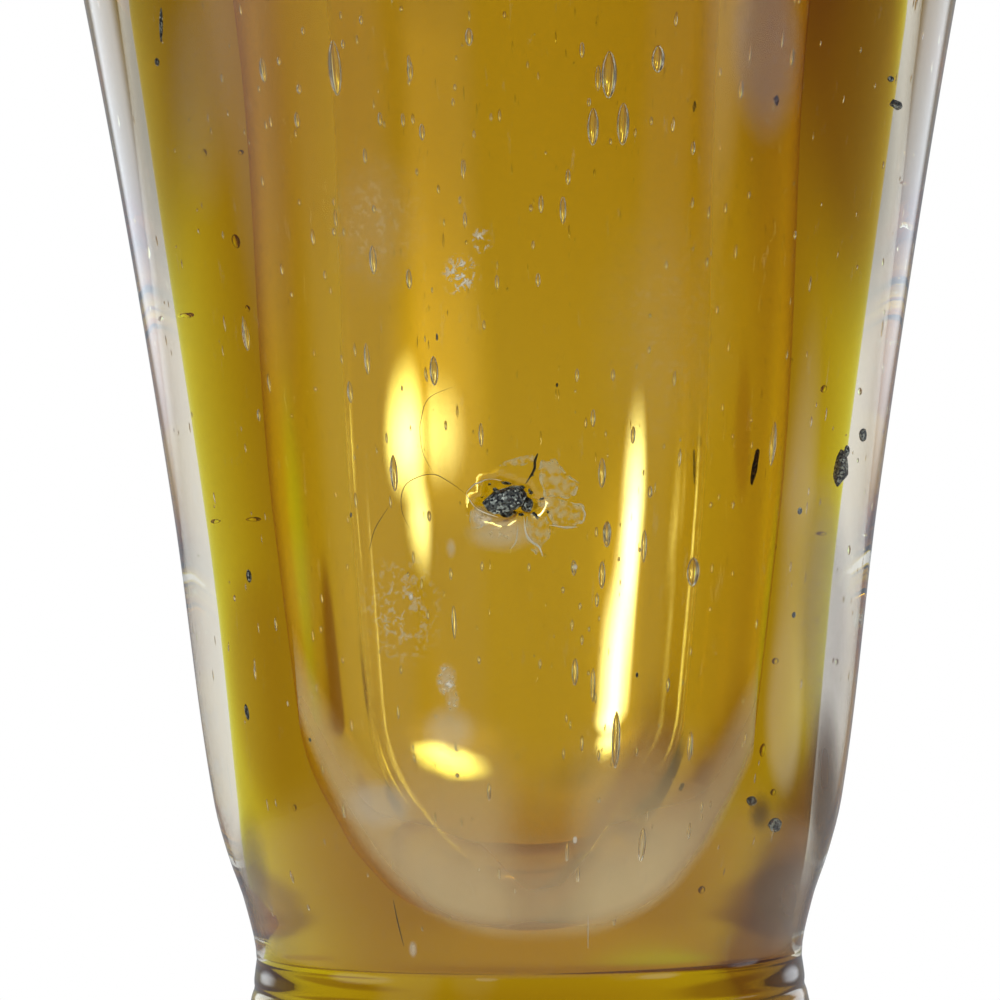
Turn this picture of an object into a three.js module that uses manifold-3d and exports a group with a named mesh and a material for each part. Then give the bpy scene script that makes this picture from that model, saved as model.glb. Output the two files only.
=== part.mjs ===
// Trumpet vase of cased glass: a thick clear casing over an amber lining, drawn in to a waist over a
// spreading foot. Millimetres, +Z up, origin on the table under the middle of the foot. The front of the
// vase faces -Y. Every glass piece is a turned shape, and four unmelted stones sit in pockets of the casing.
import * as THREE from 'three';
import { mergeVertices } from 'three/addons/utils/BufferGeometryUtils.js';
import Module from 'manifold-3d';

const wasm = await Module();
wasm.setup();

// Heights above the table.
const HEIGHT = 225;
const WAIST_HEIGHT = 36;

// Outside of the body, with heights above the waist.
const WAIST_RADIUS = 27.2;
const SHOULDER_HEIGHT = 5.5;
const SHOULDER_RADIUS = 28.25;
const BELLY_HEIGHT = 15.5;
const BELLY_RADIUS = 31.25;
const MIDDLE_HEIGHT = 45.5;
const MIDDLE_RADIUS = 35.2;
const NECK_HEIGHT = 95.5;
const NECK_RADIUS = 43.5;
const THROAT_HEIGHT = 118;
const FLARE_HEIGHT = 155;
const FLARE_RADIUS = 56.5;
const MOUTH_RADIUS = 69;
const LIP_HEIGHT = 4;

// Thickness of the clear casing, measured level.
const CASING_AT_WAIST = 9.6;
const CASING_AT_BELLY = 12.2;
const CASING_AT_MIDDLE = 14.1;
const CASING_AT_NECK = 17.6;
const CASING_AT_THROAT = 19;
const CASING_AT_FLARE = 10.8;
const CASING_AT_MOUTH = 6.5;

// Thickness of the amber lining, measured level, and the round end of the hollow above the waist.
const LINING_AT_BELLY = 4.7;
const LINING_AT_MIDDLE = 3.9;
const LINING_AT_NECK = 6.4;
const LINING_AT_THROAT = 7.6;
const LINING_AT_FLARE = 3.9;
const LINING_AT_MOUTH = 2.5;
const HOLLOW_FLOOR = 6;
const HOLLOW_ROUNDING = 19;

// Foot.
const FOOT_RADIUS = 45;
const FOOT_EDGE = 3;
const FOOT_SLOPE_HEIGHT = 10;
const FOOT_SLOPE_RADIUS = 40.2;
const FOOT_STEM_HEIGHT = 20;
const FOOT_STEM_RADIUS = 32.4;
const FOOT_TOP_HEIGHT = 31.5;
const FOOT_TOP_RADIUS = 27.9;
const CORE_FLOOR = 9;
const CORE_SPREAD = 7;
const CORE_ROUNDING = 9;
const PONTIL_RADIUS = 14;
const PONTIL_DEPTH = 3.5;

// Seam left between two curved layers of glass.
const SEAM = 0.3;

// Stones: width around the vase, height, depth into the glass, height above the waist, and bearing in
// degrees, where 0 is +X and -90 is the front.
const FRONT_STONE = { width: 4.4, height: 2.5, depth: 2.2, above: 45.5, bearing: -92.9, lean: 12 };
const RIGHT_STONE = { width: 1.3, height: 4.1, depth: 1.3, above: 50.1, bearing: 5.3, lean: -14 };
const LOWER_RIGHT_STONE = { width: 1.4, height: 1.3, depth: 1.2, above: 15.0, bearing: -15.5, lean: 0 };
const UPPER_RIGHT_STONE = { width: 1.6, height: 1.1, depth: 1.2, above: 87.1, bearing: 12.9, lean: 0 };
const PIT_WIDTH = 6;
const PIT_HEIGHT = 4;
const PIT_DEPTH = 3.2;

// Fineness of the turned shapes.
const SEGMENTS = 40;
const STEPS_PER_SPAN = 3;
const ARC_STEPS = 4;
const SEAM_STEPS = 14;

// Height of the body's wall above the waist, up to the lip.
const wallHeight = HEIGHT - WAIST_HEIGHT - LIP_HEIGHT;

const material = (name, colour, roughness) =>
  new THREE.MeshStandardMaterial({ name, color: colour, roughness, metalness: 0 });
const clearGlass = material('clear_glass', 0xdfe4e2, 0.05);
const amberGlass = material('amber_glass', 0xc07a12, 0.05);
const darkStone = material('dark_stone', 0x24221e, 0.6);

// A smooth curve through knots of [height, value] that never overshoots them: a cubic between each two
// knots, with the harmonic mean of the neighbouring slopes at each knot. The first slope is given.
function smooth(knots, firstSlope) {
  const slope = (i) => (knots[i + 1][1] - knots[i][1]) / (knots[i + 1][0] - knots[i][0]);
  const last = knots.length - 1;
  const tangent = (i) => {
    if (i === 0) return firstSlope;
    if (i === last) return slope(last - 1);
    const before = slope(i - 1);
    const after = slope(i);
    return before * after > 0 ? (2 * before * after) / (before + after) : 0;
  };
  return (height) => {
    const found = knots.findIndex((knot, i) => i > 0 && height <= knot[0]);
    const i = (found < 0 ? last : found) - 1;
    const span = knots[i + 1][0] - knots[i][0];
    const t = Math.min(1, Math.max(0, (height - knots[i][0]) / span));
    const rise = t * t * (3 - 2 * t);
    const bow = span * t * (1 - t) * ((1 - t) * tangent(i) - t * tangent(i + 1));
    return knots[i][1] + (knots[i + 1][1] - knots[i][1]) * rise + bow;
  };
}

// Radii of the body by height above the waist.
const bodyKnots = [
  [0, WAIST_RADIUS],
  [SHOULDER_HEIGHT, SHOULDER_RADIUS],
  [BELLY_HEIGHT, BELLY_RADIUS],
  [MIDDLE_HEIGHT, MIDDLE_RADIUS],
  [NECK_HEIGHT, NECK_RADIUS],
  [FLARE_HEIGHT, FLARE_RADIUS],
  [wallHeight, MOUTH_RADIUS],
];
const outside = smooth(bodyKnots, 0);

const casingKnots = [
  [0, CASING_AT_WAIST],
  [BELLY_HEIGHT, CASING_AT_BELLY],
  [MIDDLE_HEIGHT, CASING_AT_MIDDLE],
  [NECK_HEIGHT, CASING_AT_NECK],
  [THROAT_HEIGHT, CASING_AT_THROAT],
  [FLARE_HEIGHT, CASING_AT_FLARE],
  [wallHeight, CASING_AT_MOUTH],
];
const casing = smooth(casingKnots, (CASING_AT_BELLY - CASING_AT_WAIST) / BELLY_HEIGHT);
const seamRadius = (above) => outside(above) - casing(above);

const liningKnots = [
  [0, LINING_AT_BELLY],
  [MIDDLE_HEIGHT, LINING_AT_MIDDLE],
  [NECK_HEIGHT, LINING_AT_NECK],
  [THROAT_HEIGHT, LINING_AT_THROAT],
  [FLARE_HEIGHT, LINING_AT_FLARE],
  [wallHeight, LINING_AT_MOUTH],
];
const lining = smooth(liningKnots, 0);

// The hollow follows the lining's inner wall and closes below in half an ellipse.
function hollowRadius(above) {
  const wall = seamRadius(above) - SEAM - lining(above);
  const down = (HOLLOW_FLOOR + HOLLOW_ROUNDING - above) / HOLLOW_ROUNDING;
  return down > 0 ? wall * Math.sqrt(Math.max(0, 1 - down * down)) : wall;
}

// Radii of the foot by height above the table.
const footKnots = [
  [FOOT_EDGE, FOOT_RADIUS],
  [FOOT_SLOPE_HEIGHT, FOOT_SLOPE_RADIUS],
  [FOOT_STEM_HEIGHT, FOOT_STEM_RADIUS],
  [FOOT_TOP_HEIGHT, FOOT_TOP_RADIUS],
  [WAIST_HEIGHT, WAIST_RADIUS],
];
const footOutside = smooth(footKnots, 0);

const point = (radius, height) => new THREE.Vector2(radius, height);

// Evenly spaced numbers from start to end, both included.
function spread(start, end, steps) {
  return Array.from({ length: steps + 1 }, (_, i) => start + ((end - start) * i) / steps);
}

// Heights that subdivide each span between knots, both ends included.
function subdivide(knots) {
  const heights = knots.slice(1).flatMap((knot, i) =>
    spread(knots[i][0], knot[0], STEPS_PER_SPAN).slice(1));
  return [knots[0][0], ...heights];
}

// The rounded lip is half an ellipse over the whole wall, from the outside to the hollow.
const lipInside = hollowRadius(wallHeight);
const lipMiddle = (MOUTH_RADIUS + lipInside) / 2;
const lipHalf = (MOUTH_RADIUS - lipInside) / 2;

// Points on the lip between two radii, from the outer one inwards, with the lip's top where it lies there.
function lipArc(from, to) {
  const angle = (radius) => Math.acos(Math.min(1, Math.max(-1, (radius - lipMiddle) / lipHalf)));
  const [start, end, top] = [angle(from), angle(to), Math.PI / 2];
  const angles = start < top && top < end
    ? [...spread(start, top, ARC_STEPS), ...spread(top, end, ARC_STEPS / 2).slice(1)]
    : spread(start, end, ARC_STEPS);
  return angles.map((a) => point(
    lipMiddle + lipHalf * Math.cos(a),
    WAIST_HEIGHT + wallHeight + LIP_HEIGHT * Math.sin(a),
  ));
}

// A turned solid from a profile of [radius, height] points that runs anticlockwise.
function turned(profile) {
  const geometry = new THREE.LatheGeometry(profile, SEGMENTS);
  geometry.rotateX(Math.PI / 2);
  return geometry;
}

function bodyCasingShape() {
  const outer = subdivide(bodyKnots).map((above) => point(outside(above), WAIST_HEIGHT + above));
  const lip = lipArc(MOUTH_RADIUS, seamRadius(wallHeight));
  const inner = spread(wallHeight, 0, SEAM_STEPS)
    .map((above) => point(seamRadius(above), WAIST_HEIGHT + above));
  return turned([...outer, ...lip.slice(1), ...inner, outer[0]]);
}

function bodyLiningShape() {
  const seam = (above) => seamRadius(above) - SEAM;
  const outer = spread(0, wallHeight, SEAM_STEPS).map((above) => point(seam(above), WAIST_HEIGHT + above));
  const wall = spread(wallHeight, HOLLOW_FLOOR + HOLLOW_ROUNDING, SEAM_STEPS)
    .map((above) => point(hollowRadius(above), WAIST_HEIGHT + above));
  const floor = spread(0, Math.PI / 2, 2 * ARC_STEPS)
    .slice(1, -1)
    .map((a) => HOLLOW_FLOOR + HOLLOW_ROUNDING * (1 - Math.sin(a)))
    .map((above) => point(hollowRadius(above), WAIST_HEIGHT + above));
  const profile = [
    point(0, WAIST_HEIGHT),
    ...outer,
    ...lipArc(seam(wallHeight), lipInside),
    ...wall.slice(1),
    ...floor,
    point(0, WAIST_HEIGHT + HOLLOW_FLOOR),
  ];
  return turned(profile);
}

// The amber core hangs from the waist, spreads as it goes down and ends in a rounded bottom. Grown by a
// margin, it is also the pocket that the foot's clear glass leaves for it.
function coreProfile(margin) {
  const top = seamRadius(0) - SEAM + margin;
  const floor = CORE_FLOOR - margin;
  const side = smooth([[floor + CORE_ROUNDING, top + CORE_SPREAD], [WAIST_HEIGHT, top]], 0);
  const corner = spread(0, Math.PI / 2, ARC_STEPS).map((a) => point(
    top + CORE_SPREAD - CORE_ROUNDING * (1 - Math.sin(a)),
    floor + CORE_ROUNDING * (1 - Math.cos(a)),
  ));
  const flank = spread(floor + CORE_ROUNDING, WAIST_HEIGHT, 2 * STEPS_PER_SPAN)
    .slice(1)
    .map((height) => point(side(height), height));
  return [point(0, floor), ...corner, ...flank];
}

function footCoreShape() {
  return turned([...coreProfile(0), point(0, WAIST_HEIGHT)]);
}

function footCasingShape() {
  const pontil = spread(0, 1, ARC_STEPS).map((share) =>
    point(PONTIL_RADIUS * share, PONTIL_DEPTH * (1 - share * share)));
  const edge = spread(0, Math.PI / 2, ARC_STEPS).map((a) => point(
    FOOT_RADIUS - FOOT_EDGE * (1 - Math.sin(a)),
    FOOT_EDGE * (1 - Math.cos(a)),
  ));
  const side = subdivide(footKnots).slice(1).map((height) => point(footOutside(height), height));
  const pocket = coreProfile(SEAM).reverse();
  return turned([...pontil, ...edge, ...side, ...pocket]);
}

// Geometry to solid and back, for the pockets of the stones.
function toSolid(geometry) {
  const bare = geometry.clone();
  bare.deleteAttribute('normal');
  bare.deleteAttribute('uv');
  const merged = mergeVertices(bare, 1e-4);
  return new wasm.Manifold(new wasm.Mesh({
    numProp: 3,
    vertProperties: new Float32Array(merged.attributes.position.array),
    triVerts: new Uint32Array(merged.index.array),
  }));
}

function toGeometry(solid) {
  const mesh = solid.getMesh();
  const geometry = new THREE.BufferGeometry();
  geometry.setAttribute('position', new THREE.BufferAttribute(mesh.vertProperties, 3));
  geometry.setIndex(new THREE.BufferAttribute(mesh.triVerts, 1));
  geometry.computeVertexNormals();
  return geometry;
}

// A lump with flat facets, its height up Z, its depth along X and its width along Y.
function lump(width, height, depth, fineness) {
  const geometry = new THREE.IcosahedronGeometry(0.5, fineness);
  return geometry.scale(depth, width, height);
}

// Leans a shape, then carries it out to a radius, a height above the waist and a bearing.
function seat(geometry, stone, radius) {
  geometry.rotateX(THREE.MathUtils.degToRad(stone.lean));
  geometry.translate(radius, 0, WAIST_HEIGHT + stone.above);
  return geometry.rotateZ(THREE.MathUtils.degToRad(stone.bearing));
}

// A seam stone rests against the lining. Its pocket opens towards the lining.
function seamStone(stone, grow) {
  const radius = seamRadius(stone.above) + stone.depth / 2;
  return seat(lump(stone.width + grow, stone.height + grow, stone.depth + grow, 0), stone, radius);
}

// The front stone lies in a burst bubble, with its face just below the glass around it.
function frontStone() {
  const radius = outside(FRONT_STONE.above) - PIT_DEPTH / 2 + SEAM;
  return seat(lump(FRONT_STONE.width, FRONT_STONE.height, FRONT_STONE.depth, 1), FRONT_STONE, radius);
}

function frontPit() {
  const radius = outside(FRONT_STONE.above) - PIT_DEPTH / 4;
  return seat(lump(PIT_WIDTH, PIT_HEIGHT, PIT_DEPTH * 1.5, 1), FRONT_STONE, radius);
}

const seamStones = {
  right_stone: RIGHT_STONE,
  lower_right_stone: LOWER_RIGHT_STONE,
  upper_right_stone: UPPER_RIGHT_STONE,
};

function casingWithPockets() {
  let solid = toSolid(bodyCasingShape()).subtract(toSolid(frontPit()));
  for (const stone of Object.values(seamStones)) {
    solid = solid.subtract(toSolid(seamStone(stone, 2 * SEAM)));
  }
  return toGeometry(solid);
}

const group = new THREE.Group();

function addPiece(name, geometry, finish) {
  const mesh = new THREE.Mesh(geometry, finish);
  mesh.name = name;
  group.add(mesh);
}

addPiece('body_casing', casingWithPockets(), clearGlass);
addPiece('body_lining', bodyLiningShape(), amberGlass);
addPiece('foot_casing', footCasingShape(), clearGlass);
addPiece('foot_core', footCoreShape(), amberGlass);
addPiece('front_stone', frontStone(), darkStone);
for (const [name, stone] of Object.entries(seamStones)) {
  addPiece(name, seamStone(stone, 0), darkStone);
}

export default group;
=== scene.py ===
# %% [markdown]
# # A trumpet vase of cased glass
# The vase is mouth-blown: a gather of amber glass, then a very thick gather of clear glass over it. All the
# charm of such glass is in what the light does inside it, so this lesson models the real layers and lets the
# renderer bend the light. The work is in millimetres and is scaled to metres when a mesh is made.

import math

import bpy
import numpy as np
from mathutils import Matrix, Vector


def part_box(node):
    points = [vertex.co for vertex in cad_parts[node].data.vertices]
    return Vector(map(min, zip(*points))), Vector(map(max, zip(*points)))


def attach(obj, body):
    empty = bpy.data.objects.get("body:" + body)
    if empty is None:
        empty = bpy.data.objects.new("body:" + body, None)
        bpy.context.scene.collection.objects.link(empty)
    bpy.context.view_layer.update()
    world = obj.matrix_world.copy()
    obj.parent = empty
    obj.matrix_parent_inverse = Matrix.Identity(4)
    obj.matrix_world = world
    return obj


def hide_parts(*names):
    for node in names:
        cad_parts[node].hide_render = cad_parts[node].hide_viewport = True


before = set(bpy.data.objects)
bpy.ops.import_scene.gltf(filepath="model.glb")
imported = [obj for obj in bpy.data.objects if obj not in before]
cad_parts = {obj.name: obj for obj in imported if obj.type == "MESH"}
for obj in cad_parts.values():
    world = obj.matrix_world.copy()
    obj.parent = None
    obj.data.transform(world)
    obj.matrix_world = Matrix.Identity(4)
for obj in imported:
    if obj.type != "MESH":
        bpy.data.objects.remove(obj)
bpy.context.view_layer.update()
MM = 0.001
casing_low, casing_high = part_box("body_casing")
_, foot_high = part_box("foot_casing")
HEIGHT = casing_high.z / MM
WAIST = casing_low.z / MM
MOUTH_RADIUS = casing_high.x / MM
FOOT_RADIUS = foot_high.x / MM
print(f"vase {HEIGHT:.1f} mm tall, waist at {WAIST:.1f} mm, mouth radius {MOUTH_RADIUS:.1f} mm")

# %% [markdown]
# ## The outlines
# A turned shape needs only a radius for each height. The real vase has three such outlines inside each other:
# its outside, the seam between clear and amber glass, and the hollow. Each is a smooth curve through a few
# measured knots, which is easier to correct against a photograph than a list of close points.

# %% Smooth curve through knots
LIP_HEIGHT = 4.0
WALL_TOP = HEIGHT - WAIST - LIP_HEIGHT
BODY_KNOTS = ((0, 27.2), (5.5, 28.25), (10.5, 29.95), (15.5, 31.25), (45.5, 35.2), (95.5, 43.5), (155, 56.5),
              (WALL_TOP, MOUTH_RADIUS))
CASING_KNOTS = ((0, 9.6), (15.5, 12.2), (45.5, 14.1), (95.5, 18.1), (118, 20.5), (155, 10.8), (WALL_TOP, 6.5))
CASING_FIRST_SLOPE = 2.6 / 15.5
LINING_KNOTS = ((0, 4.7), (45.5, 3.9), (95.5, 5.9), (118, 6.1), (155, 3.9), (WALL_TOP, 2.5))
FOOT_EDGE = 3.0
FOOT_KNOTS = ((FOOT_EDGE, FOOT_RADIUS), (10, 40.2), (20, 32.4), (31.5, 27.9), (WAIST, 27.2))
SEAM = 0.3
HOLLOW_FLOOR = 6.0
HOLLOW_ROUNDING = 19.0


def smooth_curve(knots, at, first_slope=0.0):
    """A cubic between each two knots. Its slope at a knot is the harmonic mean of the slopes on both sides,
    or 0 where they differ in sign, so it never overshoots a knot."""
    place, value = np.array(knots, float).T
    slope = np.diff(value) / np.diff(place)
    before, after = slope[:-1], slope[1:]
    same_sign = before * after > 0
    mean = 2 * before * after / np.where(same_sign, before + after, 1)
    tangent = np.concatenate([[first_slope], np.where(same_sign, mean, 0), slope[-1:]])
    i = np.clip(np.searchsorted(place, at) - 1, 0, len(place) - 2)
    span = place[i + 1] - place[i]
    t = np.clip((at - place[i]) / span, 0, 1)
    rise = t * t * (3 - 2 * t)
    bow = span * t * (1 - t) * ((1 - t) * tangent[i] - t * tangent[i + 1])
    return value[i] + (value[i + 1] - value[i]) * rise + bow


def outer_radius(above):
    """Outside of the body by height above the waist."""
    return smooth_curve(BODY_KNOTS, above)


def seam_radius(above):
    """Where the clear glass ends and the amber begins: the outside less the casing's thickness."""
    return outer_radius(above) - smooth_curve(CASING_KNOTS, above, CASING_FIRST_SLOPE)


def hollow_radius(above):
    """The seam less the lining, closed below by half an ellipse."""
    wall = seam_radius(above) - SEAM - smooth_curve(LINING_KNOTS, above)
    down = np.clip((HOLLOW_FLOOR + HOLLOW_ROUNDING - above) / HOLLOW_ROUNDING, 0, 1)
    return wall * np.sqrt(1 - down * down)


heights = np.array([5.0, 45.5, 120.0])
print("outside", outer_radius(heights).round(1), "seam", seam_radius(heights).round(1),
      "hollow", hollow_radius(heights).round(1))

# %% [markdown]
# ## Hand-made irregularity
# A blown hollow is never a perfect turned shape. Its wall carries slow ripples that run up the vase and
# drift round it, and these ripples tear the reflections into streaks. They are a sum of cosine waves round
# the axis. The phase of each wave slides slowly with height.

# %% Ripples of the hollow and of the outside
FRONT = math.radians(-90)
HOLLOW_RIPPLES = ((2, 0.16), (3, 0.1), (4, 0.07), (6, 0.045), (9, 0.03), (13, 0.018), (19, 0.009),
                  (27, 0.005))
SEAM_RIPPLES = ((2, 0.25), (3, 0.18), (5, 0.12), (8, 0.07), (13, 0.04))
OUTER_RIPPLES = ((3, 0.03), (5, 0.02), (8, 0.008))


def ripple(waves, angle, above, seed):
    """Sum over (count, height) of height times the cosine of count times the angle, plus a phase that turns
    steadily with height and swings a little about that."""
    draw = np.random.default_rng(seed)
    total = np.zeros(np.broadcast(angle, above).shape)
    for count, swell in waves:
        start, turn, swing, pace = draw.uniform((0, -0.025, 0.2, 0.02), (2 * math.pi, 0.025, 0.9, 0.06))
        phase = start + turn * above + swing * np.sin(pace * above + start)
        total += swell * np.cos(count * angle + phase)
    return total


print("hollow ripples within", round(sum(height for _, height in HOLLOW_RIPPLES), 2), "mm")

# %% [markdown]
# ## Turned grids
# Every glass skin is a grid: angles round the axis by points along a profile. The flaw on the front needs a
# finer grid than the rest, so the spacing narrows smoothly there instead of the whole mesh getting heavier.

# %% Graded spacing
FLAW_ABOVE = 45.5
FLAW_BEARING = math.radians(-92.9)


def graded(start, end, step, centre=None, fine_step=None, reach=None):
    """Places from start to end. The density of places is one over the wanted spacing, which narrows to
    fine_step within reach of the centre. The density is summed along the way and cut into equal shares."""
    way = np.linspace(start, end, 4001)
    spacing = np.full_like(way, step)
    if centre is not None:
        spacing += (fine_step - step) * np.exp(-(((way - centre) / reach) ** 4))
    share = np.concatenate([[0], np.cumsum(np.abs(np.diff(way)) / spacing[1:])])
    number = math.ceil(share[-1])
    return np.interp(np.linspace(0, share[-1], number + 1), share, way)


FINE_TURN = (FLAW_BEARING, math.radians(0.62), math.radians(9))
ANGLES = graded(FLAW_BEARING - math.pi, FLAW_BEARING + math.pi, math.radians(2.4), *FINE_TURN)[:-1]
print("columns round the vase:", len(ANGLES))

# %% [markdown]
# ## Closed skins
# Glass needs closed skins whose faces point outwards, or the renderer can't tell inside from outside. Nearly
# every skin here is a stack of rings that closes on a point at both ends, so one function numbers their faces.

# %% Closed skins and pieces
def ring_faces(rows, columns):
    """Faces of a stack of closed rings, numbered ring by ring. The two poles are the last two points."""
    around = np.arange(columns)
    after = (around + 1) % columns
    base = np.arange(rows - 1)[:, None] * columns
    quads = np.stack([base + around, base + after, base + columns + after, base + columns + around], -1)
    last, pole = (rows - 1) * columns, np.full(columns, rows * columns)
    return [quads.reshape(-1, 4), np.stack([after, around, pole], -1),
            np.stack([last + around, last + after, pole + 1], -1)]


def all_round(values):
    """Profile rows by angles. A profile point that is given one number has it all round."""
    values = np.asarray(values, float)
    return values if values.ndim == 2 else np.repeat(values[:, None], len(ANGLES), axis=1)


def turned_skin(*parts):
    """A closed turned skin. Each part is a pair of radii and heights of profile points, from one pole to the
    other. The first and last rows close on a pole each, at the mean height of their row."""
    radius, height = (np.concatenate([all_round(part[k]) for part in parts]) for k in (0, 1))
    rings = np.stack([radius * np.cos(ANGLES), radius * np.sin(ANGLES), height], -1).reshape(-1, 3)
    poles = [(0, 0, height[0].mean()), (0, 0, height[-1].mean())]
    return outwards(np.concatenate([rings, poles]), ring_faces(*radius.shape))


def signed_volume(vertices, faces):
    """Sum of the volumes of the cones from the origin to each face, which is negative for a skin inside
    out."""
    total = 0.0
    for block in faces:
        corner = vertices[block]
        for k in range(1, block.shape[1] - 1):
            total += np.einsum("ij,ij->", corner[:, 0], np.cross(corner[:, k], corner[:, k + 1])) / 6
    return total


def outwards(vertices, faces):
    """The same skin with its faces pointing outwards."""
    if signed_volume(vertices, faces) < 0:
        faces = [block[:, ::-1] for block in faces]
    return vertices, faces


def joined(shells):
    """One vertex array and one list of face blocks from several skins."""
    vertices, faces, count = [], [], 0
    for points, blocks in shells:
        vertices.append(points)
        faces += [block + count for block in blocks]
        count += len(points)
    return np.concatenate(vertices), faces


def make_piece(name, vertices, faces, smooth=True):
    """A mesh object in metres at the origin, from vertices in millimetres and blocks of equal-sided faces."""
    mesh = bpy.data.meshes.new(name)
    corners = np.concatenate([block.ravel() for block in faces]).astype(np.int32)
    sizes = np.concatenate([np.full(len(block), block.shape[1]) for block in faces])
    mesh.vertices.add(len(vertices))
    mesh.vertices.foreach_set("co", (np.asarray(vertices) * MM).astype(np.float32).ravel())
    mesh.loops.add(len(corners))
    mesh.loops.foreach_set("vertex_index", corners)
    mesh.polygons.add(len(sizes))
    mesh.polygons.foreach_set("loop_start", np.concatenate([[0], np.cumsum(sizes)[:-1]]).astype(np.int32))
    mesh.polygons.foreach_set("use_smooth", np.full(len(sizes), smooth))
    mesh.update(calc_edges=True)
    mesh.validate()
    piece = bpy.data.objects.new(name, mesh)
    bpy.context.scene.collection.objects.link(piece)
    print(f"{name}: {len(vertices)} vertices, {(sizes - 2).sum()} triangles")
    return piece


def add_attribute(piece, name, values):
    """A number for each point of a piece, which its material can read."""
    made = piece.data.attributes.new(name, "FLOAT", "POINT")
    made.data.foreach_set("value", np.asarray(values, np.float32))


trial = turned_skin(([10, 10], [0, 10]))
print("a cylinder of radius 10 and height 10 mm holds", round(signed_volume(*trial)), "cubic millimetres")

# %% [markdown]
# ## The camera
# The photograph is a close view of the middle of the vase, from level with the flaw and nearly half a metre
# away. The vase leans half a degree in it and stands a little right of the middle. A small roll and a small
# shift of the lens give that framing. The camera comes early, because the bubbles that the photograph shows
# are laid on its sight lines.

# %% Camera
CAMERA_DISTANCE = 426.0
CAMERA_HEIGHT = WAIST + FLAW_ABOVE
SENSOR = 36.0
FIELD_WIDTH = 100.0
AXIS_RIGHT_OF_MIDDLE = 2.5
LEAN = math.radians(0.53)

camera_data = bpy.data.cameras.new("camera")
camera_data.sensor_width = SENSOR
camera_data.lens = SENSOR * CAMERA_DISTANCE / FIELD_WIDTH
camera_data.shift_x = -AXIS_RIGHT_OF_MIDDLE / FIELD_WIDTH
camera_data.clip_start = 0.01
camera = bpy.data.objects.new("camera", camera_data)
camera.location = (0, -CAMERA_DISTANCE * MM, CAMERA_HEIGHT * MM)
camera.rotation_euler = (math.radians(90), LEAN, 0)
bpy.context.scene.collection.objects.link(camera)
bpy.context.scene.camera = camera
bpy.context.scene.view_settings.view_transform = "Standard"
print("lens", round(camera_data.lens, 1), "mm")

# %% [markdown]
# ## Sight lines
# A bubble is measured in the photograph as so many millimetres right of the axis and above the waist. Its
# true place is on the sight line through that point, bent where it enters the glass, and as deep in the
# clear glass as the bubble lies. This keeps each bubble inside the glass, also when the vase is seen from
# its side.

# %% From the photograph's plane into the glass
GLASS_IOR = 1.5
# The line is followed over this last stretch before the axis, in steps of a fortieth of a millimetre.
SIGHT_REACH, SIGHT_STEPS = 72.0, 2881


def sight_points(across, above, depth):
    """Points in the glass at a depth along the bent sight lines, with the outward normal there.
    The line is followed from the camera in small steps until it is inside the outline, and is then bent by
    Snell's law."""
    across, above, depth = np.broadcast_arrays(*(np.asarray(v, float) for v in (across, above, depth)))
    up = above - FLAW_ABOVE
    aim = np.stack([across * math.cos(LEAN) + up * math.sin(LEAN), np.zeros_like(up),
                    CAMERA_HEIGHT + up * math.cos(LEAN) - across * math.sin(LEAN)], -1)
    eye = np.array([0, -CAMERA_DISTANCE, CAMERA_HEIGHT])
    line = aim - eye
    line /= np.linalg.norm(line, axis=-1, keepdims=True)
    way = np.linspace(CAMERA_DISTANCE - SIGHT_REACH, CAMERA_DISTANCE, SIGHT_STEPS)
    trail = eye + line[:, None] * way[:, None]
    gap = np.hypot(trail[..., 0], trail[..., 1]) - outer_radius(trail[..., 2] - WAIST)
    first = np.argmax(gap < 0, axis=1)
    point = trail[np.arange(len(trail)), first]
    normal = outward_normal(point)
    cosine = -np.sum(line * normal, -1, keepdims=True)
    ratio = 1 / GLASS_IOR
    bent = ratio * line + (ratio * cosine - np.sqrt(1 - ratio ** 2 * (1 - cosine ** 2))) * normal
    return point + bent * depth[:, None], normal


def outward_normal(point):
    """Level direction away from the axis, tipped down by the slope of the outside."""
    above = point[..., 2] - WAIST
    slope = outer_radius(above + 0.5) - outer_radius(above - 0.5)
    away = np.hypot(point[..., 0], point[..., 1])
    normal = np.stack([point[..., 0] / away, point[..., 1] / away, -slope], -1)
    return normal / np.linalg.norm(normal, axis=-1, keepdims=True)


middle_point, _ = sight_points([0.0], [FLAW_ABOVE], [2.0])
print("2 mm in at the middle of the photograph:", middle_point.round(2))

# %% [markdown]
# ## The clear glass
# The clear glass of body and foot is one optical body. If it were two meshes, light would reflect at the
# plane between them, so one closed skin stands for both: base, foot, waist, body, lip and hollow. The
# bubbles are shells inside it whose faces point into the bubble, just as a real void is part of the skin of
# a solid.

# %% Profile of the clear glass
PONTIL_RADIUS, PONTIL_DEPTH = 14.0, 3.5
WAIST_CREASE, WAIST_CREASE_DEPTH = 33.2, 0.16
PIT_HALF_WIDTH, PIT_HALF_HEIGHT, PIT_DEPTH = 3.0, 2.0, 2.6
ROW_STEP, FLAW_ROW_STEP = 1.3, 0.4
FLAW_REACH = 4.5

LIP_INSIDE = hollow_radius(np.array([WALL_TOP]))[0]
LIP_MIDDLE = (MOUTH_RADIUS + LIP_INSIDE) / 2
LIP_HALF = (MOUTH_RADIUS - LIP_INSIDE) / 2
OUTER_SEED, HOLLOW_SEED, SEAM_SEED = 3, 17, 29


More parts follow.
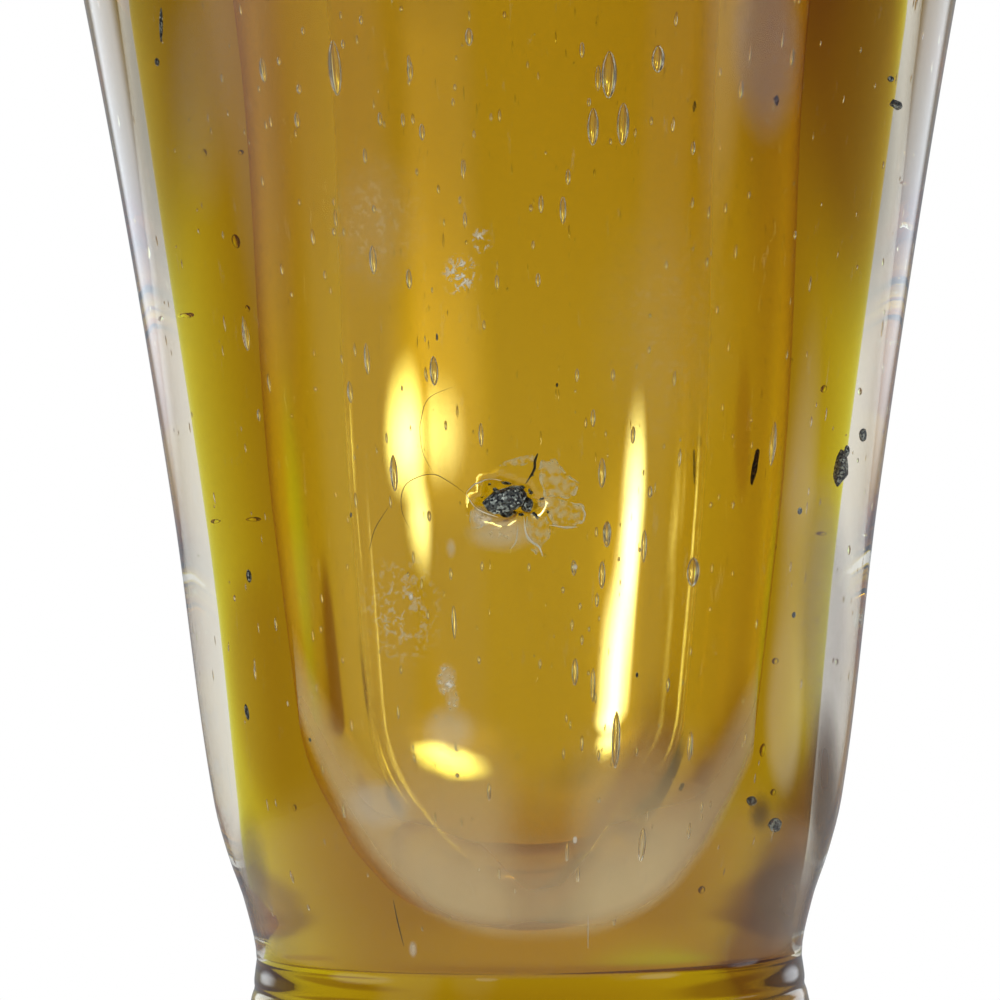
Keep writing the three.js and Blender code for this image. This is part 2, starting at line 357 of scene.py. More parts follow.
def pit(angle, above):
    """Depth of the burst bubble in the outside: half an ellipsoid with a rim broken by a few waves."""
    along = (angle - FLAW_BEARING) * outer_radius(np.array([FLAW_ABOVE]))[0] / PIT_HALF_WIDTH
    up = (above - FLAW_ABOVE) / PIT_HALF_HEIGHT
    turn = np.arctan2(up, along)
    rim = 1 + 0.10 * np.cos(3 * turn + 0.7) + 0.07 * np.cos(5 * turn + 2.1) + 0.05 * np.cos(8 * turn)
    away = np.hypot(along, up) / rim
    return PIT_DEPTH * np.sqrt(np.clip(1 - away ** 2, 0, 1)) ** 1.2


def fades(above, low, high):
    """0 at the heights low and high and beyond them, rising smoothly to 1 within 12 mm of either."""
    inside = np.clip(np.minimum(above - low, high - above) / 12, 0, 1)
    return inside * inside * (3 - 2 * inside)


def body_wall(above, bearing=ANGLES):
    """Radii of the body's outside, rows by bearings, with ripples and the pit."""
    rows = above[:, None]
    swell = ripple(OUTER_RIPPLES, bearing, rows, OUTER_SEED) * fades(rows, 0, WALL_TOP)
    return outer_radius(rows) + swell - pit(bearing, rows)


def hollow_wall(above):
    """Radii of the hollow's wall, rows by angles, with ripples that die out at the lip and the floor."""
    rows = above[:, None]
    share = fades(rows, HOLLOW_FLOOR, WALL_TOP)
    return hollow_radius(rows) + ripple(HOLLOW_RIPPLES, ANGLES, rows, HOLLOW_SEED) * share


def hollow_rows():
    """Heights along the hollow's wall, from the lip down into the bowl, closest at the bottom of the bowl."""
    wall = graded(WALL_TOP, HOLLOW_FLOOR + HOLLOW_ROUNDING, step=1.5)
    turn = np.linspace(0, math.pi / 2, 30)[1:-1]
    bowl = HOLLOW_FLOOR + HOLLOW_ROUNDING * (1 - np.sin(turn))
    return np.concatenate([wall[1:], bowl])


def clear_skin():
    """Rows of the outer skin from the pontil hollow up to the lip and down the hollow to its floor."""
    out = np.linspace(0, 1, 9)[1:]
    turn = np.linspace(0, math.pi / 2, 7)
    foot = graded(FOOT_EDGE, WAIST, ROW_STEP, WAIST_CREASE, fine_step=0.35, reach=2.2)[1:]
    crease = WAIST_CREASE_DEPTH * np.exp(-(((foot - WAIST_CREASE) / 0.5) ** 2))
    body = graded(0, WALL_TOP, ROW_STEP, FLAW_ABOVE, FLAW_ROW_STEP, FLAW_REACH)[1:]
    over = np.linspace(0, math.pi, 17)[1:]
    inner = hollow_rows()
    return turned_skin(
        (PONTIL_RADIUS * out, PONTIL_DEPTH * (1 - out ** 2)),
        (FOOT_RADIUS - FOOT_EDGE * (1 - np.sin(turn)), FOOT_EDGE * (1 - np.cos(turn))),
        (smooth_curve(FOOT_KNOTS, foot) - crease, foot),
        (body_wall(body), WAIST + body),
        (LIP_MIDDLE + LIP_HALF * np.cos(over), WAIST + WALL_TOP + LIP_HEIGHT * np.sin(over)),
        (hollow_wall(inner), WAIST + inner))


skin = clear_skin()
print("clear skin volume", round(signed_volume(*skin) / 1000, 1), "ml")

# %% [markdown]
# ## Bubbles and seeds
# Air caught between the gathers is drawn out into long lenses that stand upright. A bubble is an ellipsoid
# with slightly pointed ends, its long axis along the wall. The large ones of the front are placed one by one,
# as measured in the photograph, and the seeds are scattered through the clear glass by a seeded draw.

# %% Bubbles that the photograph shows
# Large bubbles: right of the axis, above the waist, width, height, as they appear, and depth in the glass.
LARGE_BUBBLES = (
    (-19, 88.7, 1.4, 5.6, 3), (-26.2, 88.5, 0.8, 2.5, 4), (-22.8, 83.5, 0.6, 1.6, 2),
    (-15.2, 69.5, 0.8, 2.9, 3), (-11.6, 67.6, 0.6, 2, 2), (-27.9, 62, 0.9, 3.2, 7),
    (-15.8, 59.6, 0.6, 3.2, 2), (-9.1, 58.4, 0.9, 3, 2.5), (-17.5, 56.3, 0.6, 2.2, 2),
    (-5.6, 91.8, 0.8, 1.8, 2), (-11.5, 88.5, 0.6, 2.2, 2.5), (8.4, 88, 1.6, 4.8, 2.5),
    (7.3, 87.7, 0.6, 2.6, 4), (6.8, 82.8, 1.2, 3.8, 3), (9.8, 83.1, 1.3, 4.3, 3),
    (13.3, 89.6, 1.4, 2.8, 2), (5.7, 90.5, 0.5, 1.6, 2), (26.7, 89.8, 0.6, 1.8, 3),
    (21.6, 86.6, 0.6, 2, 3), (16.8, 80.7, 0.5, 1.4, 2), (4.3, 77.8, 0.5, 1.6, 2),
    (1.6, 75.1, 0.5, 1.8, 2), (-13.1, 48.2, 0.8, 3.7, 2.5), (7.7, 48.2, 0.8, 3, 2),
    (11.9, 40.9, 0.6, 3.3, 2.5), (12.5, 46.3, 0.5, 1.2, 2), (16.8, 38.3, 1.4, 3, 3),
    (8.2, 42, 0.8, 2.5, 2), (7.7, 38, 0.7, 2.8, 2), (4.9, 38.7, 0.5, 1.6, 2), (24.8, 51.1, 0.8, 4.5, 4),
    (9.1, 21.5, 0.9, 5.8, 3), (11.7, 11, 0.8, 3.5, 3), (16.5, 20.9, 0.6, 3, 3), (-4.4, 52, 0.5, 2.4, 2),
    (10.8, 52, 0.5, 1.8, 2),
)
# Small ones, all 2 mm deep: right of the axis, above the waist, width, height, as they appear.
SMALL_BUBBLES = (
    (-30.3, 87.7, 0.4, 0.9), (-24.6, 89.4, 0.5, 0.9), (-22.6, 86.6, 0.6, 1), (-18.2, 91.1, 0.4, 0.9),
    (-22.2, 92.4, 0.4, 0.8), (-16.4, 93.5, 0.4, 0.9), (-11.6, 89.3, 0.4, 1.4), (-11.6, 87.3, 0.3, 0.7),
    (-14.5, 83.6, 0.5, 1.4), (-12.2, 83.5, 0.4, 1.4), (-10.3, 82.3, 0.6, 1.7), (-16, 79.9, 0.4, 1.6),
    (-15.1, 74.6, 0.4, 0.8), (-6.2, 78.6, 0.4, 2), (-6.5, 75.5, 0.3, 0.8), (-6, 73.5, 0.4, 1.6),
    (-5.1, 82.1, 0.3, 0.8), (-3.4, 83.8, 0.3, 0.8), (-7, 86.8, 0.3, 0.7), (-7.2, 85.3, 0.3, 0.8),
    (-2.8, 67.3, 0.4, 1.5), (1.3, 67.5, 0.5, 1.4), (-19.1, 72.3, 0.4, 0.8), (-18.1, 72.3, 0.3, 0.8),
    (-19.1, 75.3, 0.3, 0.8), (-10.8, 78.3, 0.3, 0.8), (-25.9, 83, 0.3, 0.9), (-26.6, 86.6, 0.3, 0.6),
    (6.4, 85.3, 0.4, 0.9), (3.8, 74.5, 0.7, 2.8), (6.8, 53.7, 0.5, 1.8), (8.8, 58, 0.4, 1.2),
    (5.2, 58, 0.4, 1.4), (4.8, 38.8, 0.4, 1.4), (7.2, 35.5, 0.4, 1.4), (3.8, 36.5, 0.3, 0.7),
    (-4.3, 38.9, 0.3, 1), (8.2, 42.3, 0.9, 2.2), (5.5, 34.9, 0.3, 0.7), (0.4, 38.8, 0.3, 0.8),
    (5, 28.3, 0.7, 2.8), (6.8, 27, 0.5, 3.5), (-7.1, 33.3, 0.5, 3.4), (1.5, 29.1, 0.3, 1),
    (-4.6, 29.5, 0.3, 0.8), (4.7, 33, 0.3, 1.2), (5.7, 31.5, 0.3, 1), (-12.4, 28.5, 0.3, 0.8),
    (-3.6, 16.3, 0.4, 1.8), (4.2, 10.3, 0.4, 2), (5.3, 8, 0.4, 1.5), (7.4, 15.5, 0.3, 0.6),
    (19.5, 88.3, 0.3, 0.9), (22.4, 76, 0.3, 0.8), (19.2, 64.5, 0.3, 0.8), (14.1, 69, 0.3, 0.9),
    (12.4, 60.5, 0.3, 0.8), (-26.6, 54, 0.5, 1.2), (-28.1, 63, 0.4, 1.8), (-20, 68, 0.3, 0.9),
    (-24.9, 33.1, 0.4, 1.4), (-18.3, 59.6, 0.3, 0.9), (0.8, 71, 0.3, 0.9), (-4.1, 63, 0.3, 1),
    (-9.7, 34, 0.3, 0.9), (14.3, 27, 0.4, 1.4), (20.8, 45, 0.3, 0.8), (26.2, 60, 0.3, 0.9),
    (27, 72, 0.4, 0.9), (-30.2, 72, 0.3, 0.8),
)
print(len(LARGE_BUBBLES), "large and", len(SMALL_BUBBLES), "small bubbles")

# %% Bubble shells
POINTEDNESS, FLATNESS = 0.22, 0.8


def ball(columns, rows):
    """A ball of radius 1 along z: circles of latitude, squeezed a little towards both ends. Its quads begin
    one corner on, which turns their diagonals."""
    turn = np.arange(columns) * 2 * math.pi / columns
    lift = np.linspace(-math.pi / 2, math.pi / 2, rows + 1)[1:-1]
    wide = np.cos(lift) ** (1 + POINTEDNESS)
    rings = np.stack([np.outer(wide, np.cos(turn)), np.outer(wide, np.sin(turn)),
                      np.outer(np.sin(lift), np.ones(columns))], -1).reshape(-1, 3)
    quads, *caps = ring_faces(len(lift), columns)
    return outwards(np.concatenate([rings, [(0, 0, -1), (0, 0, 1)]]), [np.roll(quads, 1, axis=1), *caps])


def wall_copies(shape, centre, normal, half, lean=0.0):
    """Copies of a shape at each centre, as one skin. The shape's x runs round the vase, its y along the
    normal and its z up the wall. All three are stretched by the half sizes, and x and z are turned by the
    lean."""
    points, faces = shape
    side = np.cross([0.0, 0.0, 1.0], normal)
    side /= np.linalg.norm(side, axis=-1, keepdims=True)
    upward = np.cross(normal, side)
    x, y, z = np.split(points * half[:, None], 3, axis=-1)
    lean = np.reshape(lean, (-1, 1, 1))
    placed = (centre[:, None] + (x * np.cos(lean) + z * np.sin(lean)) * side[:, None] + y * normal[:, None]
              + (z * np.cos(lean) - x * np.sin(lean)) * upward[:, None])
    step = (np.arange(len(centre)) * len(points))[:, None, None]
    return outwards(placed.reshape(-1, 3), [(block + step).reshape(-1, block.shape[1]) for block in faces])


def nearness(point):
    """True size over the size that shows: what is nearer than the axis appears larger."""
    return (CAMERA_DISTANCE + point[..., 1]) / CAMERA_DISTANCE


def front_bubbles():
    """The bubbles that were measured, at their true size on their sight lines."""
    shells = []
    for rows, columns, rings in ((LARGE_BUBBLES, 16, 12), ([(*row, 2.0) for row in SMALL_BUBBLES], 10, 8)):
        across, above, width, height, depth = np.array(rows).T
        centre, normal = sight_points(across, above, depth)
        half = np.stack([width, FLATNESS * width, height], -1) * nearness(centre)[:, None] / 2
        shells.append(wall_copies(ball(columns, rings), centre, normal, half))
    return joined(shells)


bubbles = front_bubbles()
print("bubbles of the front hold", round(signed_volume(*bubbles), 1), "cubic millimetres of air")

# %% [markdown]
# The fine seeds are far too many to measure, so they are drawn at random from a fixed seed. They keep clear
# of the flaw. All the voids then join the clear glass, with their faces turned into the bubbles.

# %% Seeds, and the finished clear glass
SEED_COUNT = 1000
SEED_WIDTH, SEED_STRETCH = (0.14, 0.46), (1.2, 5.5)
# From and to, as shares of the clear wall's thickness.
SEED_DEPTHS = (0.06, 0.8)
SEEDS_FROM, SEEDS_TO = 4.0, WALL_TOP - 10
CLEAR_OF_FLAW = 7.0


def scattered_seeds():
    """Seeds all through the clear glass: bearing, height and depth by a seeded draw, more of them high up."""
    draw = np.random.default_rng(41)
    bearing = draw.uniform(0, 2 * math.pi, SEED_COUNT)
    above = SEEDS_FROM + (SEEDS_TO - SEEDS_FROM) * draw.beta(1.25, 1.5, SEED_COUNT)
    share = draw.uniform(*SEED_DEPTHS, SEED_COUNT)
    radius = outer_radius(above) - share * (outer_radius(above) - seam_radius(above))
    centre = np.stack([radius * np.cos(bearing), radius * np.sin(bearing), WAIST + above], -1)
    width = SEED_WIDTH[0] + (SEED_WIDTH[1] - SEED_WIDTH[0]) * draw.beta(1.2, 3, SEED_COUNT)
    half = np.stack([width, FLATNESS * width, width * draw.uniform(*SEED_STRETCH, SEED_COUNT)], -1) / 2
    keep = np.hypot((bearing - (FLAW_BEARING + 2 * math.pi)) * radius, above - FLAW_ABOVE) > CLEAR_OF_FLAW
    return wall_copies(ball(columns=6, rows=5), centre[keep], outward_normal(centre[keep]), half[keep])


air, air_faces = joined([bubbles, scattered_seeds()])
print("bubbles and seeds hold", round(signed_volume(air, air_faces), 1), "cubic millimetres of air")
voids = (air, [block[:, ::-1] for block in air_faces])
clear_glass_piece = make_piece("clear_glass", *joined([skin, voids]))

# %% [markdown]
# ## The amber glass
# The lining is a closed shell between the seam and the hollow. It stops a few hundredths of a millimetre
# short of the hollow's skin, because two surfaces in exactly the same place confuse the renderer. Light isn't
# bent between the clear and the amber glass, as the two have the same index, so the amber only colours it.

# %% Amber lining and core
SKIN_GAP, CORE_GAP = 0.05, 0.02
CORE_FLOOR, CORE_SPREAD, CORE_ROUNDING = 9.0, 7.0, 9.0


def seam_wall(above, bearing=ANGLES):
    """Radii of the seam, rows by bearings, with its ripples."""
    rows = above[:, None]
    return seam_radius(rows) + ripple(SEAM_RIPPLES, bearing, rows, SEAM_SEED) * fades(rows, 0, WALL_TOP)


def lining_skin():
    """Rows from the middle of the waist out to the seam, up it, over the lip and down beside the hollow."""
    bottom = np.linspace(0, 1, 6)[1:-1]
    seam_rows = graded(0, WALL_TOP, step=2.0)
    seam = seam_wall(seam_rows)
    over = np.linspace(seam[-1].mean(), LIP_INSIDE + SKIN_GAP, 8)[1:]
    lip_rise = np.sqrt(np.clip(1 - ((over - LIP_MIDDLE) / LIP_HALF) ** 2, 0, 1))
    inner = hollow_rows()
    return turned_skin(
        (seam[0].mean() * bottom, np.full(len(bottom), WAIST)),
        (seam, WAIST + seam_rows),
        (over, WAIST + WALL_TOP + LIP_HEIGHT * lip_rise - SKIN_GAP),
        (hollow_wall(inner) + SKIN_GAP, WAIST + inner - SKIN_GAP))


def core_skin():
    """The core hangs from the waist, spreads as it goes down and ends in a rounded bottom."""
    top = seam_radius(np.array([0.0]))[0] - SEAM
    flank = graded(WAIST - CORE_GAP, CORE_FLOOR + CORE_ROUNDING, step=1.0)
    side = smooth_curve(((CORE_FLOOR + CORE_ROUNDING, top + CORE_SPREAD), (WAIST, top)), flank)
    turn = np.linspace(0, math.pi / 2, 9)[1:]
    corner = top + CORE_SPREAD - CORE_ROUNDING * (1 - np.cos(turn))
    inward = np.linspace(1, 0, 6)[1:-1]
    return turned_skin(
        (top * inward[::-1], np.full(len(inward), flank[0])),
        (side, flank),
        (corner, CORE_FLOOR + CORE_ROUNDING * (1 - np.sin(turn))),
        (corner[-1] * inward, np.full(len(inward), CORE_FLOOR)))


def hollow_side(vertices):
    """1 for the points of the lining that lie on the hollow's side of its middle, 0 for those at the seam."""
    away = np.hypot(vertices[:, 0], vertices[:, 1])
    above = vertices[:, 2] - WAIST
    middle = np.where(above < WALL_TOP, (seam_radius(above) + hollow_radius(above)) / 2, LIP_MIDDLE)
    return (away < middle) & (above > 1)


lining_shell = lining_skin()
amber_lining = make_piece("amber_lining", *lining_shell)
add_attribute(amber_lining, "hollow_side", hollow_side(lining_shell[0]))
amber_core = make_piece("amber_core", *core_skin())

# %% [markdown]
# ## A veil in the glass
# Low on the front, a pale haze lies between the clear and the amber glass, where the gathers trapped the
# finest bubbles. It is a thin curved sheet just outside the seam. How dense it is at a place is left to its
# material.

# %% Veil
VEIL_HALF_TURN = math.radians(62)
VEIL_LOW, VEIL_HIGH = 1.5, 44.0
VEIL_OFF_SEAM, VEIL_THICKNESS = 0.25, 0.06


def curved_sheet(outside, thickness, bearing, above):
    """A closed sheet: one grid outside, one inside, and a strip round the rim. outside holds the radii of
    rows by bearings."""
    sheets = []
    for radius in (outside, outside - thickness):
        height = np.broadcast_to(WAIST + above[:, None], radius.shape)
        sheets.append(np.stack([radius * np.cos(bearing), radius * np.sin(bearing), height], -1))
    count_up, count_round = sheets[0].shape[:2]
    place = np.arange(count_up * count_round).reshape(count_up, count_round)
    quads = np.stack([place[:-1, :-1], place[:-1, 1:], place[1:, 1:], place[1:, :-1]], -1).reshape(-1, 4)
    behind = count_up * count_round
    rim = np.concatenate([place[0, :-1], place[:-1, -1], place[-1, :0:-1], place[:0:-1, 0]])
    onward = np.roll(rim, -1)
    strips = np.stack([onward, rim, rim + behind, onward + behind], -1)
    return outwards(np.concatenate([sheet.reshape(-1, 3) for sheet in sheets]),
                    [quads, quads[:, ::-1] + behind, strips])


def veil_skin():
    """The sheet that follows the seam at a small distance outside it."""
    bearing = np.linspace(FRONT - VEIL_HALF_TURN, FRONT + VEIL_HALF_TURN, 73)
    above = np.linspace(VEIL_LOW, VEIL_HIGH, 61)
    outside = seam_wall(above, bearing) + VEIL_OFF_SEAM + VEIL_THICKNESS
    return curved_sheet(outside, VEIL_THICKNESS, bearing, above)


veil_piece = make_piece("seed_veil", *veil_skin())

# %% [markdown]
# ## Wear and painted light on the outside
# The front is scratched and has a little dried residue on it. These marks have no thickness to speak of, so
# they are a sheet just under the outside that is clear nearly everywhere. Its material draws the marks, and
# also a painted highlight, painted reflections and painted shadows.

# %% Sheet for wear and painted light
SHEET_HALF_TURN = math.radians(78)
SHEET_LOW, SHEET_HIGH = 1.0, 96.0
SHEET_UNDER, SHEET_THICKNESS = 0.05, 0.03


def wear_and_light_sheet():
    """The sheet that follows the outside at a small distance under it, through the flaw's pit as well."""
    bearing = graded(FRONT - SHEET_HALF_TURN, FRONT + SHEET_HALF_TURN, math.radians(1.5), *FINE_TURN)
    above = graded(SHEET_LOW, SHEET_HIGH, ROW_STEP, FLAW_ABOVE, FLAW_ROW_STEP, FLAW_REACH)
    return curved_sheet(body_wall(above, bearing) - SHEET_UNDER, SHEET_THICKNESS, bearing, above)


wear_and_painted_light_piece = make_piece("wear_and_painted_light", *wear_and_light_sheet())

# %% [markdown]
# ## The stones
# Unmelted lumps in glass are broken crystals. A broken crystal has flat faces, and the quickest way to such a
# shape is to cut a ball with planes: along each direction the surface lies at the nearest plane.

# %% Stones
# Depth, width and height in millimetres, bearing and lean in degrees, and number of cutting planes.
STONES = {
    "front_stone": (2.2, 4.4, 2.5, -92.9, 12, 34),
    "right_stone": (1.3, 1.3, 4.1, 5.3, -14, 22),
    "lower_right_stone": (1.2, 1.4, 1.3, -15.5, 0, 20),
    "upper_right_stone": (1.2, 1.6, 1.1, 12.9, 0, 20),
}


def cut_ball(planes, seed, columns=56, rows=36):
    """A unit ball cut by seeded planes: the distance along a direction is the least of plane distance over
    the cosine to the plane's normal. A little noise of the same kind roughens the facets."""
    draw = np.random.default_rng(seed)
    points, faces = ball(columns, rows)
    points = points / np.linalg.norm(points, axis=1, keepdims=True)
    for count, near, far, share in ((planes, 0.72, 1.0, 1.0), (160, 0.9, 1.05, 0.35)):
        normal = draw.normal(size=(count, 3))
        normal /= np.linalg.norm(normal, axis=1, keepdims=True)
        distance = draw.uniform(near, far, count)
        facing = points @ normal.T / np.linalg.norm(points, axis=1, keepdims=True)
        reach = np.where(facing > 0.05, distance / np.maximum(facing, 0.05), np.inf).min(axis=1)
        points = points * (1 + share * (np.minimum(reach, 1.15) - 1))[:, None]
    return points / np.abs(points).max(axis=0), faces


def stone_piece(name, seed):
    """A cut ball of the stone's size, leaned and turned to its bearing, in the middle of its CAD node's
    box."""
    *size, bearing, lean, planes = STONES[name]
    points, faces = cut_ball(planes, seed)
    points = points * np.array(size) / 2
    lean, turn = math.radians(lean), math.radians(bearing)
    tip = np.array([[1, 0, 0], [0, math.cos(lean), -math.sin(lean)], [0, math.sin(lean), math.cos(lean)]])
    spin = np.array([[math.cos(turn), -math.sin(turn), 0], [math.sin(turn), math.cos(turn), 0], [0, 0, 1]])
    middle = sum(np.array(corner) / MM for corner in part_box(name)) / 2
    return make_piece(name + "_lump", points @ tip.T @ spin.T + middle, faces, smooth=False)


stones = {name: stone_piece(name, seed) for seed, name in enumerate(STONES, start=5)}

# %% [markdown]
# The front lump is no single block: smaller splinters of it lie round it in the glass.

# %% Splinters of the front stone
# Right of the axis, above the waist, width, height, depth in the glass.
SPLINTERS = (
    (0.4, 44.9, 1.5, 2.1, 2), (-1.7, 43.9, 1.8, 0.9, 2), (-1.9, 47.3, 1.1, 0.6, 1.8),
    (-0.2, 46.9, 0.9, 0.8, 2), (-3, 46.4, 0.6, 0.5, 1.6), (0.9, 46.6, 0.5, 0.6, 1.8),
    (1.2, 43.7, 0.5, 0.4, 1.6), (-3, 44.5, 0.7, 0.5, 1.6), (-0.3, 43.6, 0.6, 0.5, 1.8),
    (1.9, 45.8, 0.35, 0.3, 1.4), (-4.4, 45.8, 0.35, 0.25, 1.2), (0.7, 48, 0.3, 0.3, 1.2),
    (2.3, 44.3, 0.25, 0.3, 1.2), (-3.6, 47, 0.3, 0.25, 1.2),
)


def splinters():
    """Small cut balls, each from its own seed, stretched and put on their sight lines."""
    across, above, width, height, depth = np.array(SPLINTERS).T
    centre, normal = sight_points(across, above, depth)
    half = np.stack([width, np.minimum(width, height), height], -1) / 2
    return joined([wall_copies(cut_ball(14, 60 + i, columns=14, rows=10), centre[[i]], normal[[i]], half[[i]])
                   for i in range(len(SPLINTERS))])


splinters_piece = make_piece("stone_splinters", *splinters(), smooth=False)

# %% [markdown]
# ## The fracture round the front stone
# The lump strained the glass as it cooled. Hair-thin cracks run from it in arcs, and thin flakes of glass
# stand loose beside it. A crack is a fine tapering tube through a few points on the sight lines, and a
# flake is a thin domed plate with a smooth outline.

# %% Threads
# Each thread: half thickness, tone from 0 (dark) to 1 (pale), depth, then points right of the axis and above
# the waist as they appear.
THREADS = (
    (0.035, 0.0, 0.8, ((-5.9, 46.1), (-7.4, 47.2), (-9.3, 48.1), (-11.5, 47.4), (-12.3, 46.2), (-12.3, 44.4),
                       (-11.5, 42.5))),
    (0.03, 0.0, 1.2, ((-6.8, 57.0), (-9.6, 55.7), (-10.4, 53.5), (-10.5, 52.2), (-10.2, 50.2), (-9.2, 48.2))),
    (0.03, 0.0, 1.2, ((-13.6, 44.9), (-15.0, 42.6), (-15.6, 40.4))),
    (0.13, 0.0, 1.0, ((1.3, 50.2), (1.0, 49.4), (0.9, 48.5), (0.1, 47.2))),
    (0.10, 1.0, 1.0, ((-0.1, 43.6), (0.1, 42.2), (0.6, 41.4), (1.4, 40.8), (1.8, 39.8))),
    (0.05, 0.8, 1.0, ((-0.7, 42.9), (-0.9, 41.4), (-1.4, 40.6))),
    (0.06, 0.8, 0.6, ((-5.9, 46.2), (-5.0, 47.1), (-3.7, 47.6), (-2.3, 47.4))),
    (0.06, 0.8, 0.6, ((-5.9, 46.2), (-5.3, 45.0), (-4.3, 44.3), (-2.6, 43.7))),
    (0.07, 1.0, 0.8, ((5.7, 44.8), (6.0, 44.1), (5.8, 43.4))),
    (0.05, 1.0, 0.8, ((2.4, 43.0), (3.9, 42.8), (5.3, 42.8))),
    (0.06, 0.0, 1.0, ((-13.2, 5.6), (-12.7, 3.2), (-12.1, 0.8))),
    (0.04, 0.7, 1.0, ((6.3, 4.0), (6.3, 2.2), (6.3, 0.6))),
)


def spline(points, number, closed=False):
    """A Catmull-Rom curve: between two points the cubic whose slope at each is half the chord past it."""
    points = np.asarray(points, float)
    if closed:
        points = np.concatenate([points[-1:], points, points[:2]])
    else:
        points = np.concatenate([2 * points[:1] - points[1:2], points, 2 * points[-1:] - points[-2:-1]])
    spans = len(points) - 3
    at = np.linspace(0, spans, number, endpoint=not closed)
    i = np.minimum(at.astype(int), spans - 1)
    t = (at - i)[:, None]
    a, b, c, d = (points[i + k] for k in range(4))
    bend, twist = 2 * a - 5 * b + 4 * c - d, 3 * b - a - 3 * c + d
    return 0.5 * (2 * b + (c - a) * t + bend * t ** 2 + twist * t ** 3)


def thread(half, depth, corners, sides=6, number=33):
    """A tube along a curve on the sight lines. Its half thickness falls to nothing at both ends as the root
    of a sine, and the rings at the ends close on a point."""
    line = spline(corners, number)
    centre, normal = sight_points(line[:, 0], line[:, 1], np.full(number, depth))
    along = np.gradient(centre, axis=0)
    across = np.cross(along, normal)
    across /= np.linalg.norm(across, axis=1, keepdims=True)
    thick = half * np.sqrt(np.sin(np.linspace(0, math.pi, number)[1:-1]))
    turn = np.arange(sides) * 2 * math.pi / sides
    ring = (centre[1:-1, None] + thick[:, None, None] * (np.cos(turn)[None, :, None] * across[1:-1, None]
                                                        + np.sin(turn)[None, :, None] * normal[1:-1, None]))
    return outwards(np.concatenate([ring.reshape(-1, 3), centre[[0, -1]]]), ring_faces(len(thick), sides))


thread_shells = [thread(half, depth, corners) for half, _, depth, corners in THREADS]
threads_piece = make_piece("crack_threads", *joined(thread_shells))
tones = [np.full(len(points), row[1]) for row, (points, _) in zip(THREADS, thread_shells)]
add_attribute(threads_piece, "tone", np.concatenate(tones))

# %% [markdown]
# A flake is a thin plate. Its edge shows more than its face, because the haze of its finish is densest there.
# So each point carries how far out it lies, as a number that the material reads.

# %% Flakes
# Each flake: depth, and the corners of its outline as they appear.
FLAKES = (
    (1.2, ((1.3, 48.5), (2.6, 49.7), (3.9, 48.5), (5.4, 46.9), (4.5, 45.8), (2.2, 46.0))),
    (1.6, ((1.7, 45.8), (3.7, 45.5), (5.7, 45.0), (6.0, 43.8), (5.2, 42.9), (2.9, 42.9))),
    (1.0, ((-2.6, 49.0), (-0.6, 49.8), (0.9, 50.0), (0.6, 49.2), (-1.2, 48.9))),
    (1.0, ((-5.4, 44.8), (-4.4, 44.4), (-4.2, 42.9), (-5.4, 42.7))),
    (1.3, ((0.2, 43.4), (1.9, 43.8), (2.6, 42.4), (1.2, 40.2), (0.2, 41.4))),
)
FLAKE_THICKNESS, FLAKE_DOME = 0.05, 0.35


def flake(depth, corners, columns=48, rings=6):
    """A thin domed plate with a wavy outline: rings grow from its middle to the outline and shrink back
    below. The middle stands off by the dome times one less the square of the share of the way out."""
    outline = spline(corners, columns, closed=True)
    middle = outline.mean(axis=0)
    turn = np.arange(columns) * 2 * math.pi / columns
    uneven = (1 + 0.05 * np.cos(5 * turn + depth * 9) + 0.04 * np.cos(8 * turn + 2.0)
              + 0.03 * np.cos(13 * turn))
    out = np.linspace(0, 1, rings + 1)[1:]
    share = np.append(np.repeat([*out, *out[::-1]], columns), [0, 0])
    sink = np.append(np.repeat([0, FLAKE_THICKNESS], rings * columns), [0, FLAKE_THICKNESS])
    around = np.tile((outline - middle) * uneven[:, None], (2 * rings, 1))
    across, above = (middle + share[:, None] * np.append(around, np.zeros((2, 2)), axis=0)).T
    points, _ = sight_points(across, above, depth + FLAKE_DOME * (1 - share ** 2) + sink)
    return outwards(points, ring_faces(2 * rings, columns)), share


flake_shells = [flake(depth, corners) for depth, corners in FLAKES]
flakes_piece = make_piece("glass_flakes", *joined([shell for shell, _ in flake_shells]))
add_attribute(flakes_piece, "way_out", np.concatenate([share for _, share in flake_shells]))

# %% [markdown]
# ## Dark specks
# A few grains of the same stone as the lumps float in the glass. Each is a small drawn-out ellipsoid that
# leans a little.

# %% Specks
# Right of the axis, above the waist, width, height, lean in degrees, depth.
SPECKS = (
    (-36.8, 89.3, 0.7, 0.8, 0, 2), (-36.4, 93, 0.5, 3.4, 16, 3), (-27.6, 37.9, 0.7, 1.3, 0, 3),
    (-27.8, 24.3, 0.6, 1.6, -8, 3), (27.5, 44.4, 0.6, 0.7, 0, 3), (26.9, 34, 0.5, 0.6, 0, 3),
    (33.8, 52, 1.6, 1.3, 30, 4), (32.2, 50.4, 0.9, 1.2, -20, 4), (22.7, 15.4, 1.2, 0.9, 20, 7),
    (36.6, 87.6, 1, 0.6, 0, 5), (-8.8, 61.8, 0.2, 0.7, 0, 2), (3.2, 57, 0.2, 0.4, 0, 2),
    (-17.4, 44, 0.2, 0.5, 10, 2), (11.2, 28, 0.25, 0.5, 0, 2), (-21.5, 21.5, 0.3, 0.4, 0, 3),
)


def specks():
    """Balls, stretched, leaned in the plane of the wall and put on their sight lines."""
    across, above, width, height, lean, depth = np.array(SPECKS).T
    half = np.stack([width, width, height], -1) / 2
    return wall_copies(ball(columns=10, rows=8), *sight_points(across, above, depth), half, np.radians(lean))


specks_piece = make_piece("dark_specks", *specks())

